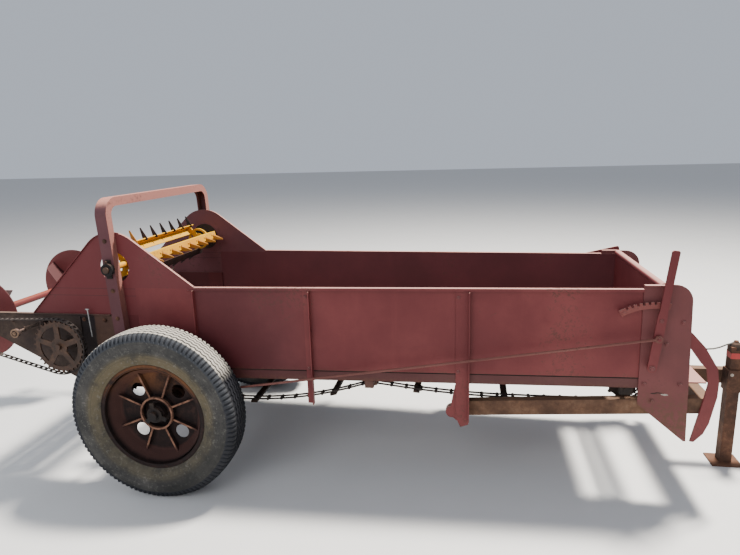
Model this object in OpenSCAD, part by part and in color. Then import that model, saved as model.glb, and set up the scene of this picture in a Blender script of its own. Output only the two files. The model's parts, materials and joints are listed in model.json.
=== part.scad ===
// Two-wheeled, ground-driven manure spreader, standing on its wheels and its tongue jack.
// Millimetres. +X is forward, +Y is the left side, +Z is up. The floor is at z = 0.
// The x values of the driving dimensions are measured from the axle. The whole part is
// then moved along x, so that its origin lies under the middle of its length.

/* [Wheels] */
// Outer radius of the tyres
tyre_r = 440; // [420:1:450]
// Width of a tyre
tyre_w = 190; // [170:1:200]
// Radius of the bead seat of the rim
rim_r = 262; // [240:1:280]
// Width of the rim
rim_w = 128; // [110:1:140]
// Height of the rim flange over the bead seat
rim_flange = 12; // [8:1:16]
// Distance from the side of the box to the middle of a tyre
wheel_out = 170; // [168:1:210]
// Outer radius of the ring round the hub
hub_ring_r = 87; // [80:1:95]
// Number of ribs between the hub ring and the rim
rib_count = 8; // [5:1:12]
// Radius of the round holes in the wheel disc
disc_hole_r = 36; // [20:1:38]
// Radius of the turning axle
axle_r = 22; // [18:1:26]
// Radial clearance of a shaft in its bearing
fit_gap = 0.05; // [0.03:0.01:0.1]

/* [Box] */
// Place of the headboard
box_front_x = 2400; // [2300:5:2500]
// Place where the raised rear sides meet the level rail
slope_x = 168; // [140:1:200]
// Half of the outer width of the box at the rear
half_rear = 530; // [480:5:590]
// How much narrower each side of the box stands at the headboard
front_narrowing = 90; // [60:1:100]
// Height of the top rail
rail_z = 1047; // [1000:1:1090]
// Height of the underside of the sills
sill_z = 562; // [556:1:575]
// Height of a sill
sill_h = 46; // [40:1:50]
// Thickness of the sheet steel
sheet_t = 4; // [3:0.5:6]
// Width of the folded rail along the top of a side
rail_w = 20; // [14:1:24]
// Thickness of the floor boards
floor_t = 18; // [14:1:22]
// Number of floor boards
board_count = 5; // [3:1:7]
// Gap between floor boards
board_gap = 3; // [1:0.5:5]

/* [Raised rear sides and arch] */
// Place of the rear end of the main side panels
panel_rear_x = -160; // [-175:1:-140]
// Height of the lower edge of the raised sides behind the arch
rear_edge_z = 892; // [880:1:900]
// Place of the lowest rear corner of the raised sides
rear_corner_x = -775; // [-800:1:-740]
// Radius of the rounded top of the raised sides
crest_r = 184; // [176:1:200]
// Radius of the shaft hole in the raised sides
side_hole_r = 80; // [60:1:90]
// Width of the arch channel
arch_w = 62; // [54:1:66]
// Depth of the arch channel's flanges
arch_flange = 45; // [40:1:48]
// Thickness of the arch channel
arch_t = 6; // [5:0.5:8]
// Height of the arch over the floor
arch_z = 1500; // [1450:1:1530]
// Height of the foot of the arch legs
arch_foot_z = 640; // [620:1:700]
// Outer radius of the arch's bends
arch_bend_r = 95; // [80:1:120]
// Rearward lean of the arch, in degrees
arch_lean = 2.5; // [0:0.5:6]

/* [Beaters] */
// Place and height of the upper beater's shaft
upper_x = -262; // [-266:1:-252]
upper_z = 1144; // [1140:1:1152]
// Place and height of the main beater's shaft
main_x = -560; // [-570:1:-550]
main_z = 745; // [740:1:750]
// Radius from the shaft to the outside of the upper beater's bars
upper_bar_r = 104; // [98:1:120]
// Number of bars on the upper beater
upper_bars = 3; // [3:1:6]
// Radius from the shaft to the outside of the main beater's bars
main_bar_r = 165; // [140:1:175]
// Number of bars on the main beater
main_bars = 6; // [4:1:8]
// Radius of the beater shafts
shaft_r = 16; // [14:1:20]
// Number of teeth on each bar
tooth_count = 8; // [6:1:10]
// Length of a tooth
tooth_h = 70; // [50:1:72]
// Width of a tooth at its bar
tooth_w = 52; // [30:1:54]
// Distance from the side of the box to the ends of the beater bars
bar_in = 60; // [50:1:90]
// Width of the legs of a bar's angle iron
bar_leg = 44; // [34:1:48]
// Thickness of the bars and teeth
bar_t = 5; // [4:0.5:6]

/* [Rear distributor] */
// Place and height of the distributor's shaft
spread_x = -1220; // [-1240:1:-1200]
spread_z = 827; // [820:1:835]
// Radius of the distributor's discs
disc_r = 240; // [210:1:250]
// Distance from the side of the box to each disc
disc_in = 120; // [100:1:150]
// Thickness of a disc
disc_t = 5; // [4:0.5:8]
// Number of paddles on each disc
paddle_count = 4; // [3:1:6]

/* [Chains] */
// Distance from the side of the box to the right-hand chain
right_chain_out = 110; // [103:1:130]
// Distance from the side of the box to the chain from the axle
axle_chain_out = 60; // [59:1:61]
// Distance from the side of the box to the chain between the beaters
beater_chain_out = 92; // [88:1:100]
// Width of a chain
chain_w = 14; // [10:1:14]
// Height of the chain links
chain_h = 14; // [10:1:18]
// Space between the tips of the sprocket teeth and the chain
chain_gap = 1; // [0.9:0.1:2]
// Tip radius of the large right-hand sprocket
right_sprocket_r = 145; // [135:1:150]
// Number of teeth of the large right-hand sprocket
right_sprocket_teeth = 30; // [24:1:32]
// Tip radius of the distributor's sprocket
spread_sprocket_r = 46; // [44:1:60]
// Tip radius of the axle's sprocket
axle_sprocket_r = 138; // [120:1:150]
// Tip radius of the small sprockets on the left side
small_sprocket_r = 72; // [60:1:80]

/* [Apron] */
// Place of the apron's rear shaft
apron_rear_x = -270; // [-275:1:-260]
// Place of the apron's front shaft
apron_front_x = 2280; // [2200:5:2285]
// Tip radius of the apron's sprockets
apron_r = 79; // [76:1:80]
// Radius of the apron's shafts
apron_shaft_r = 12; // [10:1:14]
// Distance from the side of the box to each apron chain
apron_chain_in = 175; // [172:1:185]
// Width and height of an apron chain
apron_chain_w = 26; // [20:1:30]
apron_chain_h = 12; // [10:1:14]
// Width and height of an apron slat
slat_w = 34; // [25:1:40]
slat_h = 12; // [8:1:14]
// Distance between slats
slat_pitch = 447; // [400:1:460]
// Place and height of the return run's carrier under the floor
carrier_x = 1042; // [1000:1:1080]
carrier_z = 496; // [492:1:498]
// Lowest height of the return run behind the carrier
sag_z = 372; // [368:1:376]
// Height of the return run in front of the carrier
front_run_z = 448; // [445:1:455]

/* [Front end] */
// Width of a front plate
plate_w = 215; // [200:1:230]
// Place of the rear edge of the front plates
plate_x = 2322; // [2310:1:2330]
// How far the front edge of the plates leans forward at the tip
plate_flare = 25; // [0:1:35]
// Thickness of a front plate
plate_t = 6; // [5:0.5:8]
// Height of the top of the front plates
plate_top_z = 1066; // [1056:1:1090]
// Height of the rear lower corner of the front plates
plate_corner_z = 482; // [470:1:500]
// Height of the pointed lower end of the front plates
plate_tip_z = 297; // [285:1:310]
// Radius of the plates' rounded corner
plate_corner_r = 80; // [60:1:100]
// Height of the middle of the tongue
tongue_z = 472; // [465:1:478]
// Height of the tongue channel
tongue_h = 76; // [70:1:84]
// Width of the tongue channel
tongue_w = 50; // [40:1:60]
// Place of the hitch pin
hitch_x = 3420; // [3300:5:3500]
// Radius of the hole for the hitch pin
hitch_hole_r = 14; // [12:0.5:16]
// Thickness of the hitch tongue plate
hitch_t = 20; // [16:1:25]
// Place of the jack
jack_x = 2897; // [2860:1:2950]
// Width of the jack's square leg
jack_w = 58; // [50:1:60]
// Height of the jack's head
jack_top_z = 655; // [630:1:680]
// How far the jack's foot can be raised
jack_travel = 200; // [100:5:200]

/* [Levers] */
// Place and height of the feed lever's pivot
lever_x = 2371; // [2362:1:2380]
lever_z = 677; // [670:1:685]
// Length of the feed lever
lever_len = 555; // [480:5:600]
// Width and thickness of a lever
lever_w = 42; // [34:1:44]
lever_t = 8; // [6:1:8]
// Distance from the feed lever's pivot to its rod
rod_arm = 145; // [130:1:148]
// Angle of the feed lever over the level, in degrees
lever_angle = 83.5; // [83:0.5:84]
// Radius of a control rod
rod_r = 6; // [5.5:0.5:7]
// Outer radius of the toothed quadrant
quadrant_r = 312; // [300:1:320]
// Width of the quadrant's rim
quadrant_w = 30; // [24:1:36]
// Number of notches in the quadrant
notch_count = 9; // [5:1:12]

/* [Hidden] */
$fn = 48;

// Places along the machine and across it
half_front = half_rear - front_narrowing;
wheel_y = half_rear + wheel_out;
disc_y = half_rear - disc_in;
bar_half = half_rear - bar_in;
right_chain_y = -half_rear - right_chain_out;
axle_chain_y = half_rear + axle_chain_out;
beater_chain_y = half_rear + beater_chain_out;
apron_chain_y = half_rear - apron_chain_in;
rear_end_x = spread_x - disc_r;
front_end_x = hitch_x + 50;
mid_x = (rear_end_x + front_end_x) / 2;
taper = atan((half_rear - half_front) / (box_front_x - slope_x));
side_len = (box_front_x - slope_x) / cos(taper);
panel_z = sill_z + sill_h + 6;
floor_z = sill_z + sill_h;
floor_top = floor_z + floor_t;
axle_z = tyre_r;
bore_r = axle_r + fit_gap;

// Colours
paint = "#7c3438";
rust = "#6b4a35";
dark_iron = "#4a403a";
yellow = "#d8a630";
tyre_grey = "#5b5a56";
wood = "#7d6247";

function half_at(x) = x < slope_x ? half_rear : half_rear - (x - slope_x) * tan(taper);
function arc_points(c, r, a0, a1, n) =
    [for (i = [0:n]) c + r * [cos(a0 + (a1 - a0) * i / n), sin(a0 + (a1 - a0) * i / n)]];

// Puts children of the whole machine in the part's frame
module machine() {
    translate([-mid_x, 0, 0]) children();
}

// Mirrors its children to the right side when side is -1
module on_hand(side) {
    if (side < 0) mirror([0, 1, 0]) children();
    else children();
}

// Frame of the tapered side: x runs forward from the slope's corner, y points outward
module on_side(side) {
    on_hand(side)
        translate([slope_x, half_rear, 0])
            rotate([0, 0, -taper])
                translate([-slope_x, 0, 0])
                    children();
}

// Extrudes an outline drawn as x and z along y, from y0 to y1
module side_plate(y0, y1) {
    translate([0, y1, 0])
        rotate([90, 0, 0])
            linear_extrude(y1 - y0)
                children();
}

// A cylinder along y
module cross_bar(x, z, r, y0, y1) {
    translate([x, y0, z])
        rotate([-90, 0, 0])
            cylinder(r = r, h = y1 - y0);
}

// Wheels: a tyre, and a rim with its disc, ribs and hub

// Outline of a tyre over its bead: share of the height over the rim, share of the half width
tyre_table = [[0.5, 1], [0.86, 0.91], [1, 0.6]];

module tyre_shape() {
    bead = rim_w / 2 - 0.3;
    half = concat([[rim_r, bead], [rim_r + rim_flange + 0.5, bead]],
                  [for (row = tyre_table)
                      [rim_r + row[0] * (tyre_r - rim_r), row[1] * tyre_w / 2]]);
    rotate([-90, 0, 0])
        rotate_extrude($fn = 64)
            polygon(concat(half, [for (i = [len(half) - 1:-1:0]) [half[i][0], -half[i][1]]]));
}

rim_t = 7;
well_r = rim_r - 16;
disc_plate_t = 6;
disc_offset = -18;
hub_r = 46;
hub_out = 50;
hub_in = 62;
rib_t = 9;
rib_depth = 34;

// Section of a rim with its disc, drawn as radius and distance outward from the tyre's middle
module wheel_section() {
    seat = rim_r - 0.3;
    inner = seat - rim_t;
    lip = rim_r + rim_flange;
    half = rim_w / 2;
    polygon([[lip, -half - 6], [lip, -half], [seat, -half], [seat, -36], [well_r, -26],
             [well_r, 26], [seat, 36], [seat, half], [lip, half], [lip, half + 6],
             [inner, half + 6], [inner, 39], [well_r - rim_t, 29], [well_r - rim_t, -4],
             [228, -8], [190, disc_offset + disc_plate_t], [hub_r - 2, disc_offset + disc_plate_t],
             [hub_r - 2, disc_offset], [190, disc_offset], [228, -14], [well_r - rim_t, -12],
             [well_r - rim_t, -29], [inner, -39], [inner, -half - 6]]);
}

module wheel_shape() {
    difference() {
        union() {
            rotate([-90, 0, 0])
                rotate_extrude($fn = 96) {
                    wheel_section();
                    translate([hub_ring_r - 9, disc_offset + 1]) square([9, rib_depth + 11]);
                }
            cross_bar(0, 0, hub_r, -hub_in, hub_out - 18);
            cross_bar(0, 0, hub_r + 14, disc_offset + 1, disc_offset + 15);
            for (i = [0:rib_count - 1])
                rotate([0, (i + 0.5) * 360 / rib_count, 0])
                    translate([hub_ring_r - 4, disc_offset + 2, -rib_t / 2])
                        cube([well_r - rim_t - hub_ring_r + 5, rib_depth - 2, rib_t]);
        }
        for (i = [0:3])
            rotate([0, i * 90 + 45, 0])
                cross_bar(153, 0, disc_hole_r, disc_offset - 5, disc_offset + disc_plate_t + 5);
        cross_bar(0, 0, bore_r, -hub_in - 1, hub_out);
    }
}

module tyre(side) {
    color(tyre_grey)
        machine()
            on_hand(side) translate([0, wheel_y, axle_z]) tyre_shape();
}

module wheel(side) {
    color(rust)
        machine()
            on_hand(side) translate([0, wheel_y, axle_z]) wheel_shape();
}

module tyre_right() { tyre(-1); }
module tyre_left() { tyre(1); }
module wheel_right() { wheel(-1); }
module wheel_left() { wheel(1); }

// Sprockets, drawn about the y axis

tooth_depth = 13;

module sprocket(tip_r, teeth, thickness, hub_radius, spokes) {
    root_r = tip_r - tooth_depth;
    half_base = 0.52 * PI * root_r / teeth;
    rotate([90, 0, 0])
        translate([0, 0, -thickness / 2])
            linear_extrude(thickness)
                difference() {
                    union() {
                        circle(root_r, $fn = 96);
                        for (i = [0:teeth - 1])
                            rotate(i * 360 / teeth)
                                polygon([[root_r - 3, -half_base], [tip_r, -2.5],
                                         [tip_r, 2.5], [root_r - 3, half_base]]);
                    }
                    if (spokes > 0)
                        for (i = [0:spokes - 1])
                            rotate((i + 0.5) * 360 / spokes)
                                spoke_window(hub_radius + 8, root_r - 24, 285 / spokes);
                }
}

module spoke_window(r0, r1, angle) {
    polygon(concat(arc_points([0, 0], r0, -angle * 0.3, angle * 0.3, 4),
                   arc_points([0, 0], r1, angle / 2, -angle / 2, 10)));
}

// Axle with its sprocket and the pawl carriers at its ends

carrier_gap = 6;
sprocket_t = 8;

module axle() {
    carrier_y = wheel_y + hub_out - 18 + carrier_gap;
    color(dark_iron)
        machine()
            translate([0, 0, axle_z]) {
                cross_bar(0, 0, axle_r, -carrier_y - 30, carrier_y + 30);
                for (s = [-1, 1])
                    on_hand(s) {
                        cross_bar(0, 0, 40, carrier_y, carrier_y + 10);
                        for (i = [0:2])
                            rotate([0, i * 120 + 20, 0])
                                translate([20, carrier_y + 1, -11]) cube([44, 8, 22]);
                    }
                translate([0, axle_chain_y, 0])
                    sprocket(axle_sprocket_r, 28, sprocket_t, 34, 5);
            }
}

// Box

// Line along a side seen from above, at a depth inward, bent where the box begins to narrow.
// Its ends stand back from the ends of the box.
function side_line(depth, back) = [[panel_rear_x + back, half_rear - depth],
    [slope_x - depth * tan(taper / 2), half_rear - depth],
    [box_front_x - back - depth * sin(taper), half_front + back * tan(taper) - depth * cos(taper)]];

// Strip along a side seen from above, between two depths
module side_strip(d0, d1, back = 0) {
    outer = side_line(d0, back);
    inner = side_line(d1, back);
    polygon(concat(outer, [inner[2], inner[1], inner[0]]));
}

// The folded rail along the top of a side
module top_rail() {
    rail_len = plate_x - slope_x - 1.5;
    translate([slope_x + 1, -sheet_t - 0.5, rail_z - 12]) cube([side_len - 4, sheet_t + 0.2, 10]);
    translate([slope_x + 1, -sheet_t - 0.5, rail_z - sheet_t])
        cube([rail_len, sheet_t + rail_w, sheet_t]);
    translate([slope_x + 1, rail_w - 3, rail_z - 14]) cube([rail_len, 2, 12]);
}

module side_panel(side) {
    color(paint)
        machine()
            union() {
                on_side(side) top_rail();
                on_hand(side)
                    translate([0, 0, panel_z])
                        linear_extrude(rail_z - 10 - panel_z) side_strip(0, sheet_t);
            }
}

module side_panel_right() { side_panel(-1); }
module side_panel_left() { side_panel(1); }

// The raised rear side: a crest round the upper beater's shaft, with two straight slopes

function tangent_angle(p, c, r, turn) =
    atan2(p[1] - c[1], p[0] - c[0]) + turn * acos(r / norm(p - c));

edge_flange = 10;

// Outline of a raised side, drawn in from its sloping edges by inset
module raised_outline(inset) {
    crest = [upper_x, upper_z];
    r = crest_r - inset;
    front = [slope_x - 1.6 * inset, rail_z - 0.2 * inset];
    rear = [rear_corner_x + 1.45 * inset, rear_edge_z];
    polygon(concat([[front[0], rail_z - 10], front],
        arc_points(crest, r, tangent_angle(front, crest, r, 1),
            tangent_angle(rear, crest, r, -1) + 360, 16),
        [rear, [panel_rear_x, rear_edge_z], [panel_rear_x, rail_z - 10]]));
}

module raised_side(side) {
    color(paint)
        machine()
            on_hand(side) {
                side_plate(half_rear - sheet_t, half_rear)
                    difference() {
                        raised_outline(0);
                        translate([upper_x, upper_z]) circle(side_hole_r);
                    }
                side_plate(half_rear - 1, half_rear + edge_flange)
                    difference() {
                        raised_outline(0.5);
                        raised_outline(sheet_t);
                        translate([panel_rear_x - 2, 0]) square([2 * slope_x, rail_z + 2]);
                        translate([rear_corner_x - 1, 0]) square([900, rear_edge_z + 4]);
                        translate([upper_x - arch_w / 2 - 22, upper_z + 60])
                            square([arch_w + 40, crest_r]);
                    }
            }
}

module raised_side_right() { raised_side(-1); }
module raised_side_left() { raised_side(1); }

headboard_rail_r = 19;

module headboard() {
    y1 = half_at(box_front_x) - sill_t - 0.3;
    color(paint)
        machine()
            union() {
                translate([box_front_x - sheet_t, -y1, sill_z + sill_t])
                    cube([sheet_t, 2 * y1, rail_z - sill_z - sill_t]);
                cross_bar(box_front_x + 10, rail_z + 4, headboard_rail_r, -y1, y1);
                translate([box_front_x - sheet_t, -y1, rail_z - 14]) cube([16, 2 * y1, 20]);
            }
}

module floor_boards() {
    x0 = panel_rear_x + 2;
    x1 = apron_front_x - 60;
    inner_rear = half_rear - sill_t - 0.3;
    inner_front = half_at(x1) - sill_t - 0.3;
    color(wood)
        machine()
            translate([0, 0, floor_z])
                for (i = [0:board_count - 1]) {
                    f0 = -1 + 2 * i / board_count;
                    f1 = -1 + 2 * (i + 1) / board_count;
                    linear_extrude(floor_t)
                        polygon([[x0, f0 * inner_rear + board_gap / 2],
                                 [slope_x, f0 * inner_rear + board_gap / 2],
                                 [x1, f0 * inner_front + board_gap / 2],
                                 [x1, f1 * inner_front - board_gap / 2],
                                 [slope_x, f1 * inner_rear - board_gap / 2],
                                 [x0, f1 * inner_rear - board_gap / 2]]);
                }
}

sill_t = 5;
sill_flange = 45;

module sill(side) {
    color(paint)
        machine()
            on_hand(side)
                union() {
                    translate([0, 0, sill_z]) linear_extrude(sill_t) side_strip(0, sill_flange);
                    translate([0, 0, sill_z + 1])
                        linear_extrude(sill_h - 1) side_strip(0.5, sill_t, 1);
                }
}

module sill_right() { sill(-1); }
module sill_left() { sill(1); }

// Cross members under the floor: place, width along x
cross_table = [[-130, 50], [300, 50], [715, 50], [1230, 50], [1520, 50], [1900, 50], [2140, 50]];

module cross_members() {
    color(rust)
        machine()
            for (row = cross_table) {
                y1 = half_at(row[0] + row[1]) - sill_t - 0.3;
                translate([row[0], -y1, sill_z + sill_t])
                    cube([row[1], 2 * y1, floor_z - sill_z - sill_t]);
            }
}

// Stakes on a side: place, width, height of the lower end, depth of the outward flange
stake_table = [[130, 34, 620, 24], [727, 34, 437, 30], [1475, 66, 368, 32]];
stake_t = 5;

module stakes(side) {
    color(paint)
        machine()
            on_side(side)
                for (row = stake_table) {
                    translate([row[0], 0, row[2]]) cube([row[1], stake_t, rail_z - 18 - row[2]]);
                    translate([row[0] + row[1] - stake_t, 0, row[2]])
                        cube([stake_t, row[3], rail_z - 18 - row[2]]);
                }
}

module stakes_right() { stakes(-1); }
module stakes_left() { stakes(1); }

module front_plate(side) {
    x1 = plate_x + plate_w;
    c = [x1 - plate_corner_r, plate_top_z - plate_corner_r];
    color(paint)
        machine()
            on_side(side)
                union() {
                    side_plate(0, plate_t)
                        polygon(concat([[plate_x + 8, plate_corner_z], [plate_x, plate_top_z]],
                            arc_points(c, plate_corner_r, 90, 0, 8),
                            [[x1 + plate_flare, plate_tip_z],
                             [x1 + plate_flare - 12, plate_tip_z]]));
                    translate([plate_x, 0, plate_top_z - 4]) cube([90, 24, 4]);
                }
}

module front_plate_right() { front_plate(-1); }
module front_plate_left() { front_plate(1); }

// The arch over the beaters: one bent channel that opens inward

arch_half = half_rear + arch_flange;

module arch_outline(inset) {
    r = arch_bend_r - inset;
    w = arch_half - inset;
    top = arch_z - inset;
    translate([-w, arch_foot_z - inset]) square([2 * w, top - arch_foot_z - r + inset]);
    translate([-w + r, top - r - 1]) square([2 * (w - r), r + 1]);
    for (s = [-1, 1])
        translate([s * (w - r), top - r]) circle(r);
}

module arch_band(depth, x0, x1) {
    translate([x0, 0, 0])
        rotate([90, 0, 90])
            linear_extrude(x1 - x0)
                difference() {
                    arch_outline(0);
                    arch_outline(depth);
                }
}

module arch() {
    color(paint)
        machine()
            difference() {
                translate([upper_x, 0, upper_z])
                    rotate([0, -arch_lean, 0])
                        translate([0, 0, -upper_z]) {
                            arch_band(arch_t, -arch_w / 2, arch_w / 2);
                            arch_band(arch_flange, -arch_w / 2, -arch_w / 2 + arch_t);
                            arch_band(arch_flange, arch_w / 2 - arch_t, arch_w / 2);
                        }
                for (s = [-1, 1])
                    on_hand(s) cross_bar(upper_x, upper_z, shaft_r + 5, half_rear, arch_half + 1);
            }
}

// Bearing castings of the upper beater on the arch legs

module bearing_casting(x, z, y0, y1, r, ear) {
    difference() {
        union() {
            cross_bar(x, z, r, y0, y1);
            translate([x - 14, y0, z - ear]) cube([28, 8, 2 * ear]);
        }
        cross_bar(x, z, shaft_r + fit_gap, y0 - 1, y1 + 1);
    }
}

bearing_r = 32;

module upper_bearings() {
    color(dark_iron)
        machine()
            for (s = [-1, 1])
                on_hand(s) bearing_casting(upper_x, upper_z, arch_half, arch_half + 24, bearing_r, 48);
}

// The frame plates behind the box carry the main beater and the distributor

frame_t = 10;
frame_low_z = 490;
// The recess in front of the main beater's bearing, and the flange along the top edge
groove_x = -500;
groove_z = 640;
groove_w = 78;
groove_h = 236;
groove_depth = 7;
frame_flange_l = 965;

module rear_frame(side) {
    color(rust)
        machine()
            on_hand(side)
                difference() {
                    union() {
                        side_plate(half_rear - frame_t, half_rear)
                            polygon([[panel_rear_x, frame_low_z], [panel_rear_x, rear_edge_z],
                                     [spread_x - 60, rear_edge_z],
                                     [spread_x - 60, spread_z - 60],
                                     [spread_x + 185, spread_z - 60],
                                     [panel_rear_x - 331, frame_low_z]]);
                        translate([spread_x - 60, half_rear - 1, rear_edge_z - 4])
                            cube([frame_flange_l, 13, 4]);
                        cross_bar(main_x, main_z, 40, half_rear - 1, half_rear + 34);
                        cross_bar(spread_x, spread_z, 36, half_rear - 1, half_rear + 30);
                    }
                    cross_bar(main_x, main_z, shaft_r + fit_gap, half_rear - 30, half_rear + 40);
                    cross_bar(spread_x, spread_z, shaft_r + fit_gap, half_rear - 30, half_rear + 40);
                    cross_bar(apron_rear_x, apron_axis_z, apron_shaft_r + 0.3,
                              half_rear - frame_t - 1, half_rear + 1);
                    translate([groove_x, half_rear - groove_depth, groove_z])
                        cube([groove_w, groove_depth + 1, groove_h]);
                }
}

module rear_frame_right() { rear_frame(-1); }
module rear_frame_left() { rear_frame(1); }

module axle_hangers() {
    hanger_y = half_rear - 41;
    color(rust)
        machine()
            for (s = [-1, 1])
                on_hand(s)
                    difference() {
                        union() {
                            side_plate(hanger_y, hanger_y + 16)
                                polygon([[-60, axle_z - 20], [60, axle_z - 20],
                                         [110, sill_z], [-110, sill_z]]);
                            cross_bar(0, axle_z, 46, hanger_y - 12, hanger_y + 41);
                        }
                        cross_bar(0, axle_z, bore_r, hanger_y - 13, hanger_y + 42);
                    }
}

// Front end: tongue, hitch frame, braces and jack

tongue_front_x = hitch_x - 60;
beam_w = 46;
beam_y = half_front - 27;
beam_skin = 8;
beam_rear_x = 1478;
beam_rear_z = 410;
beam_h = 76;
cross_beam_x = 2612;
cross_beam_w = 60;
brace_t = 10;

// Half of the width between the braces
function between_braces(x) = half_at(x) - brace_t - 0.3;

tongue_skin = 7;

// Section of the tongue: a channel that opens to the left
module tongue_channel() {
    difference() {
        translate([-tongue_w / 2, -tongue_h / 2]) square([tongue_w, tongue_h]);
        translate([-tongue_w / 2 + tongue_skin, -tongue_h / 2 + tongue_skin])
            square([tongue_w, tongue_h - 2 * tongue_skin]);
    }
}

module tongue() {
    color(rust)
        machine()
            difference() {
                union() {
                    translate([cross_beam_x + cross_beam_w, 0, tongue_z])
                        rotate([90, 0, 90])
                            linear_extrude(tongue_front_x - cross_beam_x - cross_beam_w)
                                tongue_channel();
                    translate([tongue_front_x - 150, -38, tongue_z - hitch_t / 2])
                        cube([hitch_x + 10 - tongue_front_x + 150, 76, hitch_t]);
                    translate([hitch_x, 0, tongue_z - hitch_t / 2])
                        cylinder(r = 50, h = hitch_t);
                }
                translate([hitch_x, 0, tongue_z - hitch_t])
                    cylinder(r = hitch_hole_r, h = 2 * hitch_t);
            }
}

module hitch_frame() {
    rise = atan((tongue_z - beam_rear_z) / (cross_beam_x - beam_rear_x));
    length = (cross_beam_x - beam_rear_x) / cos(rise) + 4;
    cross_half = between_braces(cross_beam_x + cross_beam_w);
    toe_in = atan((beam_y + beam_w / 2 - cross_half) / (cross_beam_x - beam_rear_x));
    color(rust)
        machine()
            union() {
                translate([cross_beam_x, -cross_half, tongue_z - tongue_h / 2])
                    cube([cross_beam_w, 2 * cross_half, tongue_h]);
                for (s = [-1, 1])
                    on_hand(s)
                        translate([beam_rear_x, beam_y, beam_rear_z])
                            rotate([0, -rise, -toe_in])
                                rotate([90, 0, 90])
                                    linear_extrude(length) beam_channel();
            }
}

// Section of a hitch beam: a channel that opens inward
module beam_channel() {
    difference() {
        translate([-beam_w / 2, -beam_h / 2]) square([beam_w, beam_h]);
        translate([-beam_w / 2 - 1, -beam_h / 2 + beam_skin])
            square([beam_w + 1 - beam_skin, beam_h - 2 * beam_skin]);
    }
}

// Castings that hold the rear ends of the hitch beams under the wide stakes
module beam_brackets() {
    x = stake_table[2][0] - 22;
    beam_top = beam_rear_z + beam_h / 2;
    color(paint)
        machine()
            for (s = [-1, 1])
                on_hand(s)
                    side_plate(beam_y + beam_w / 2 + 0.2, half_at(x + 85) - 0.3)
                        union() {
                            polygon([[x, beam_top], [x + 23, sill_z], [x + 85, sill_z],
                                     [x + 85, beam_top - 106], [x + 45, beam_top - 121],
                                     [x + 30, beam_top - 86], [x, beam_top - 66]]);
                            translate([x + 3, beam_top - 40]) circle(30);
                        }
}

// The shelf across the front of the box, between the front plates
shelf_x = 2545;
shelf_w = 84;
shelf_z = 597;
shelf_t = 6;
shelf_web = 58;

module front_angle() {
    x1 = shelf_x + shelf_w;
    y0 = half_at(shelf_x) - 0.3;
    y1 = half_at(x1) - 0.3;
    color(paint)
        machine()
            union() {
                translate([0, 0, shelf_z - shelf_t])
                    linear_extrude(shelf_t)
                        polygon([[shelf_x, -y0], [x1, -y1], [x1, y1], [shelf_x, y0]]);
                translate([shelf_x, 1 - y0, shelf_z - shelf_web])
                    cube([shelf_t, 2 * y0 - 2, shelf_web - 1]);
            }
}

// Outline of a brace, down its front edge and up its rear edge
brace_outline = [[2404, 900], [2480, 900], [2552, 835], [2612, 769], [2645, 716], [2675, 666],
                 [2687, 594], [2686, 524], [2661, 389], [2639, 335], [2600, 292], [2584, 294],
                 [2602, 383], [2630, 523], [2640, 589], [2628, 662], [2599, 693], [2553, 757],
                 [2500, 800], [2404, 800]];

module front_braces() {
    color(paint)
        machine()
            for (s = [-1, 1])
                on_side(s)
                    side_plate(-brace_t, 0) polygon(brace_outline);
}

jack_foot_l = 150;
jack_foot_w = 130;
jack_foot_t = 8;

module jack_sleeve() {
    y0 = -tongue_w / 2 - jack_w / 2 - 8;
    color(rust)
        machine()
            difference() {
                translate([jack_x - jack_w / 2 - 7, y0 - jack_w / 2 - 7, tongue_z - 60])
                    cube([jack_w + 14, jack_w + 15, 120]);
                translate([jack_x - jack_w / 2 - 0.4, y0 - jack_w / 2 - 0.4, tongue_z - 61])
                    cube([jack_w + 0.8, jack_w + 0.8, 122]);
            }
}

module jack_leg() {
    y0 = -tongue_w / 2 - jack_w / 2 - 8;
    color(rust)
        machine() {
            translate([jack_x - jack_w / 2, y0 - jack_w / 2, jack_foot_t - 1])
                cube([jack_w, jack_w, jack_top_z - jack_foot_t + 1]);
            translate([jack_x - jack_foot_l / 2, y0 - jack_foot_w / 2, 0])
                cube([jack_foot_l, jack_foot_w, jack_foot_t]);
            translate([jack_x, y0, jack_top_z - 1]) cylinder(r = jack_w / 2 - 6, h = 13);
            translate([jack_x, y0, jack_top_z + 11]) cylinder(r = 11, h = 18);
        }
}

// Levers, rods and quadrant

lever_y = plate_t + 30;
rod_y = lever_y + lever_t + 8;
feed_rod_rear_x = 120;
clutch_rod_rear_x = 240;
feed_guide_x = 200;
clutch_guide_x = 330;
guide_gap = 7;
pivot_r = 12;
pin_r = 8;
eye_r = 17;
eye_half = 5;

module quadrant() {
    y0 = plate_t + 14;
    a0 = lever_angle - 6;
    a1 = lever_angle + 37;
    color(paint)
        machine()
            on_side(-1)
                union() {
                    side_plate(y0, y0 + 8)
                        translate([lever_x, lever_z])
                            difference() {
                                polygon(concat(arc_points([0, 0], quadrant_r, a0, a1, 24),
                                    arc_points([0, 0], quadrant_r - quadrant_w, a1, a0, 24)));
                                for (i = [0:notch_count - 1])
                                    rotate(a0 + 8 + i * (a1 - a0 - 12) / notch_count)
                                        translate([quadrant_r - 8, -4]) square([20, 8]);
                            }
                    for (a = [a0 + 4, a1 - 3])
                        translate([lever_x + (quadrant_r - 20) * cos(a), 0,
                                   lever_z + (quadrant_r - 20) * sin(a)])
                            rotate([-90, 0, 0])
                                translate([0, 0, a < 90 ? plate_t : 0])
                                    cylinder(r = 9, h = y0 + 1 - (a < 90 ? plate_t : 0));
                }
}

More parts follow.
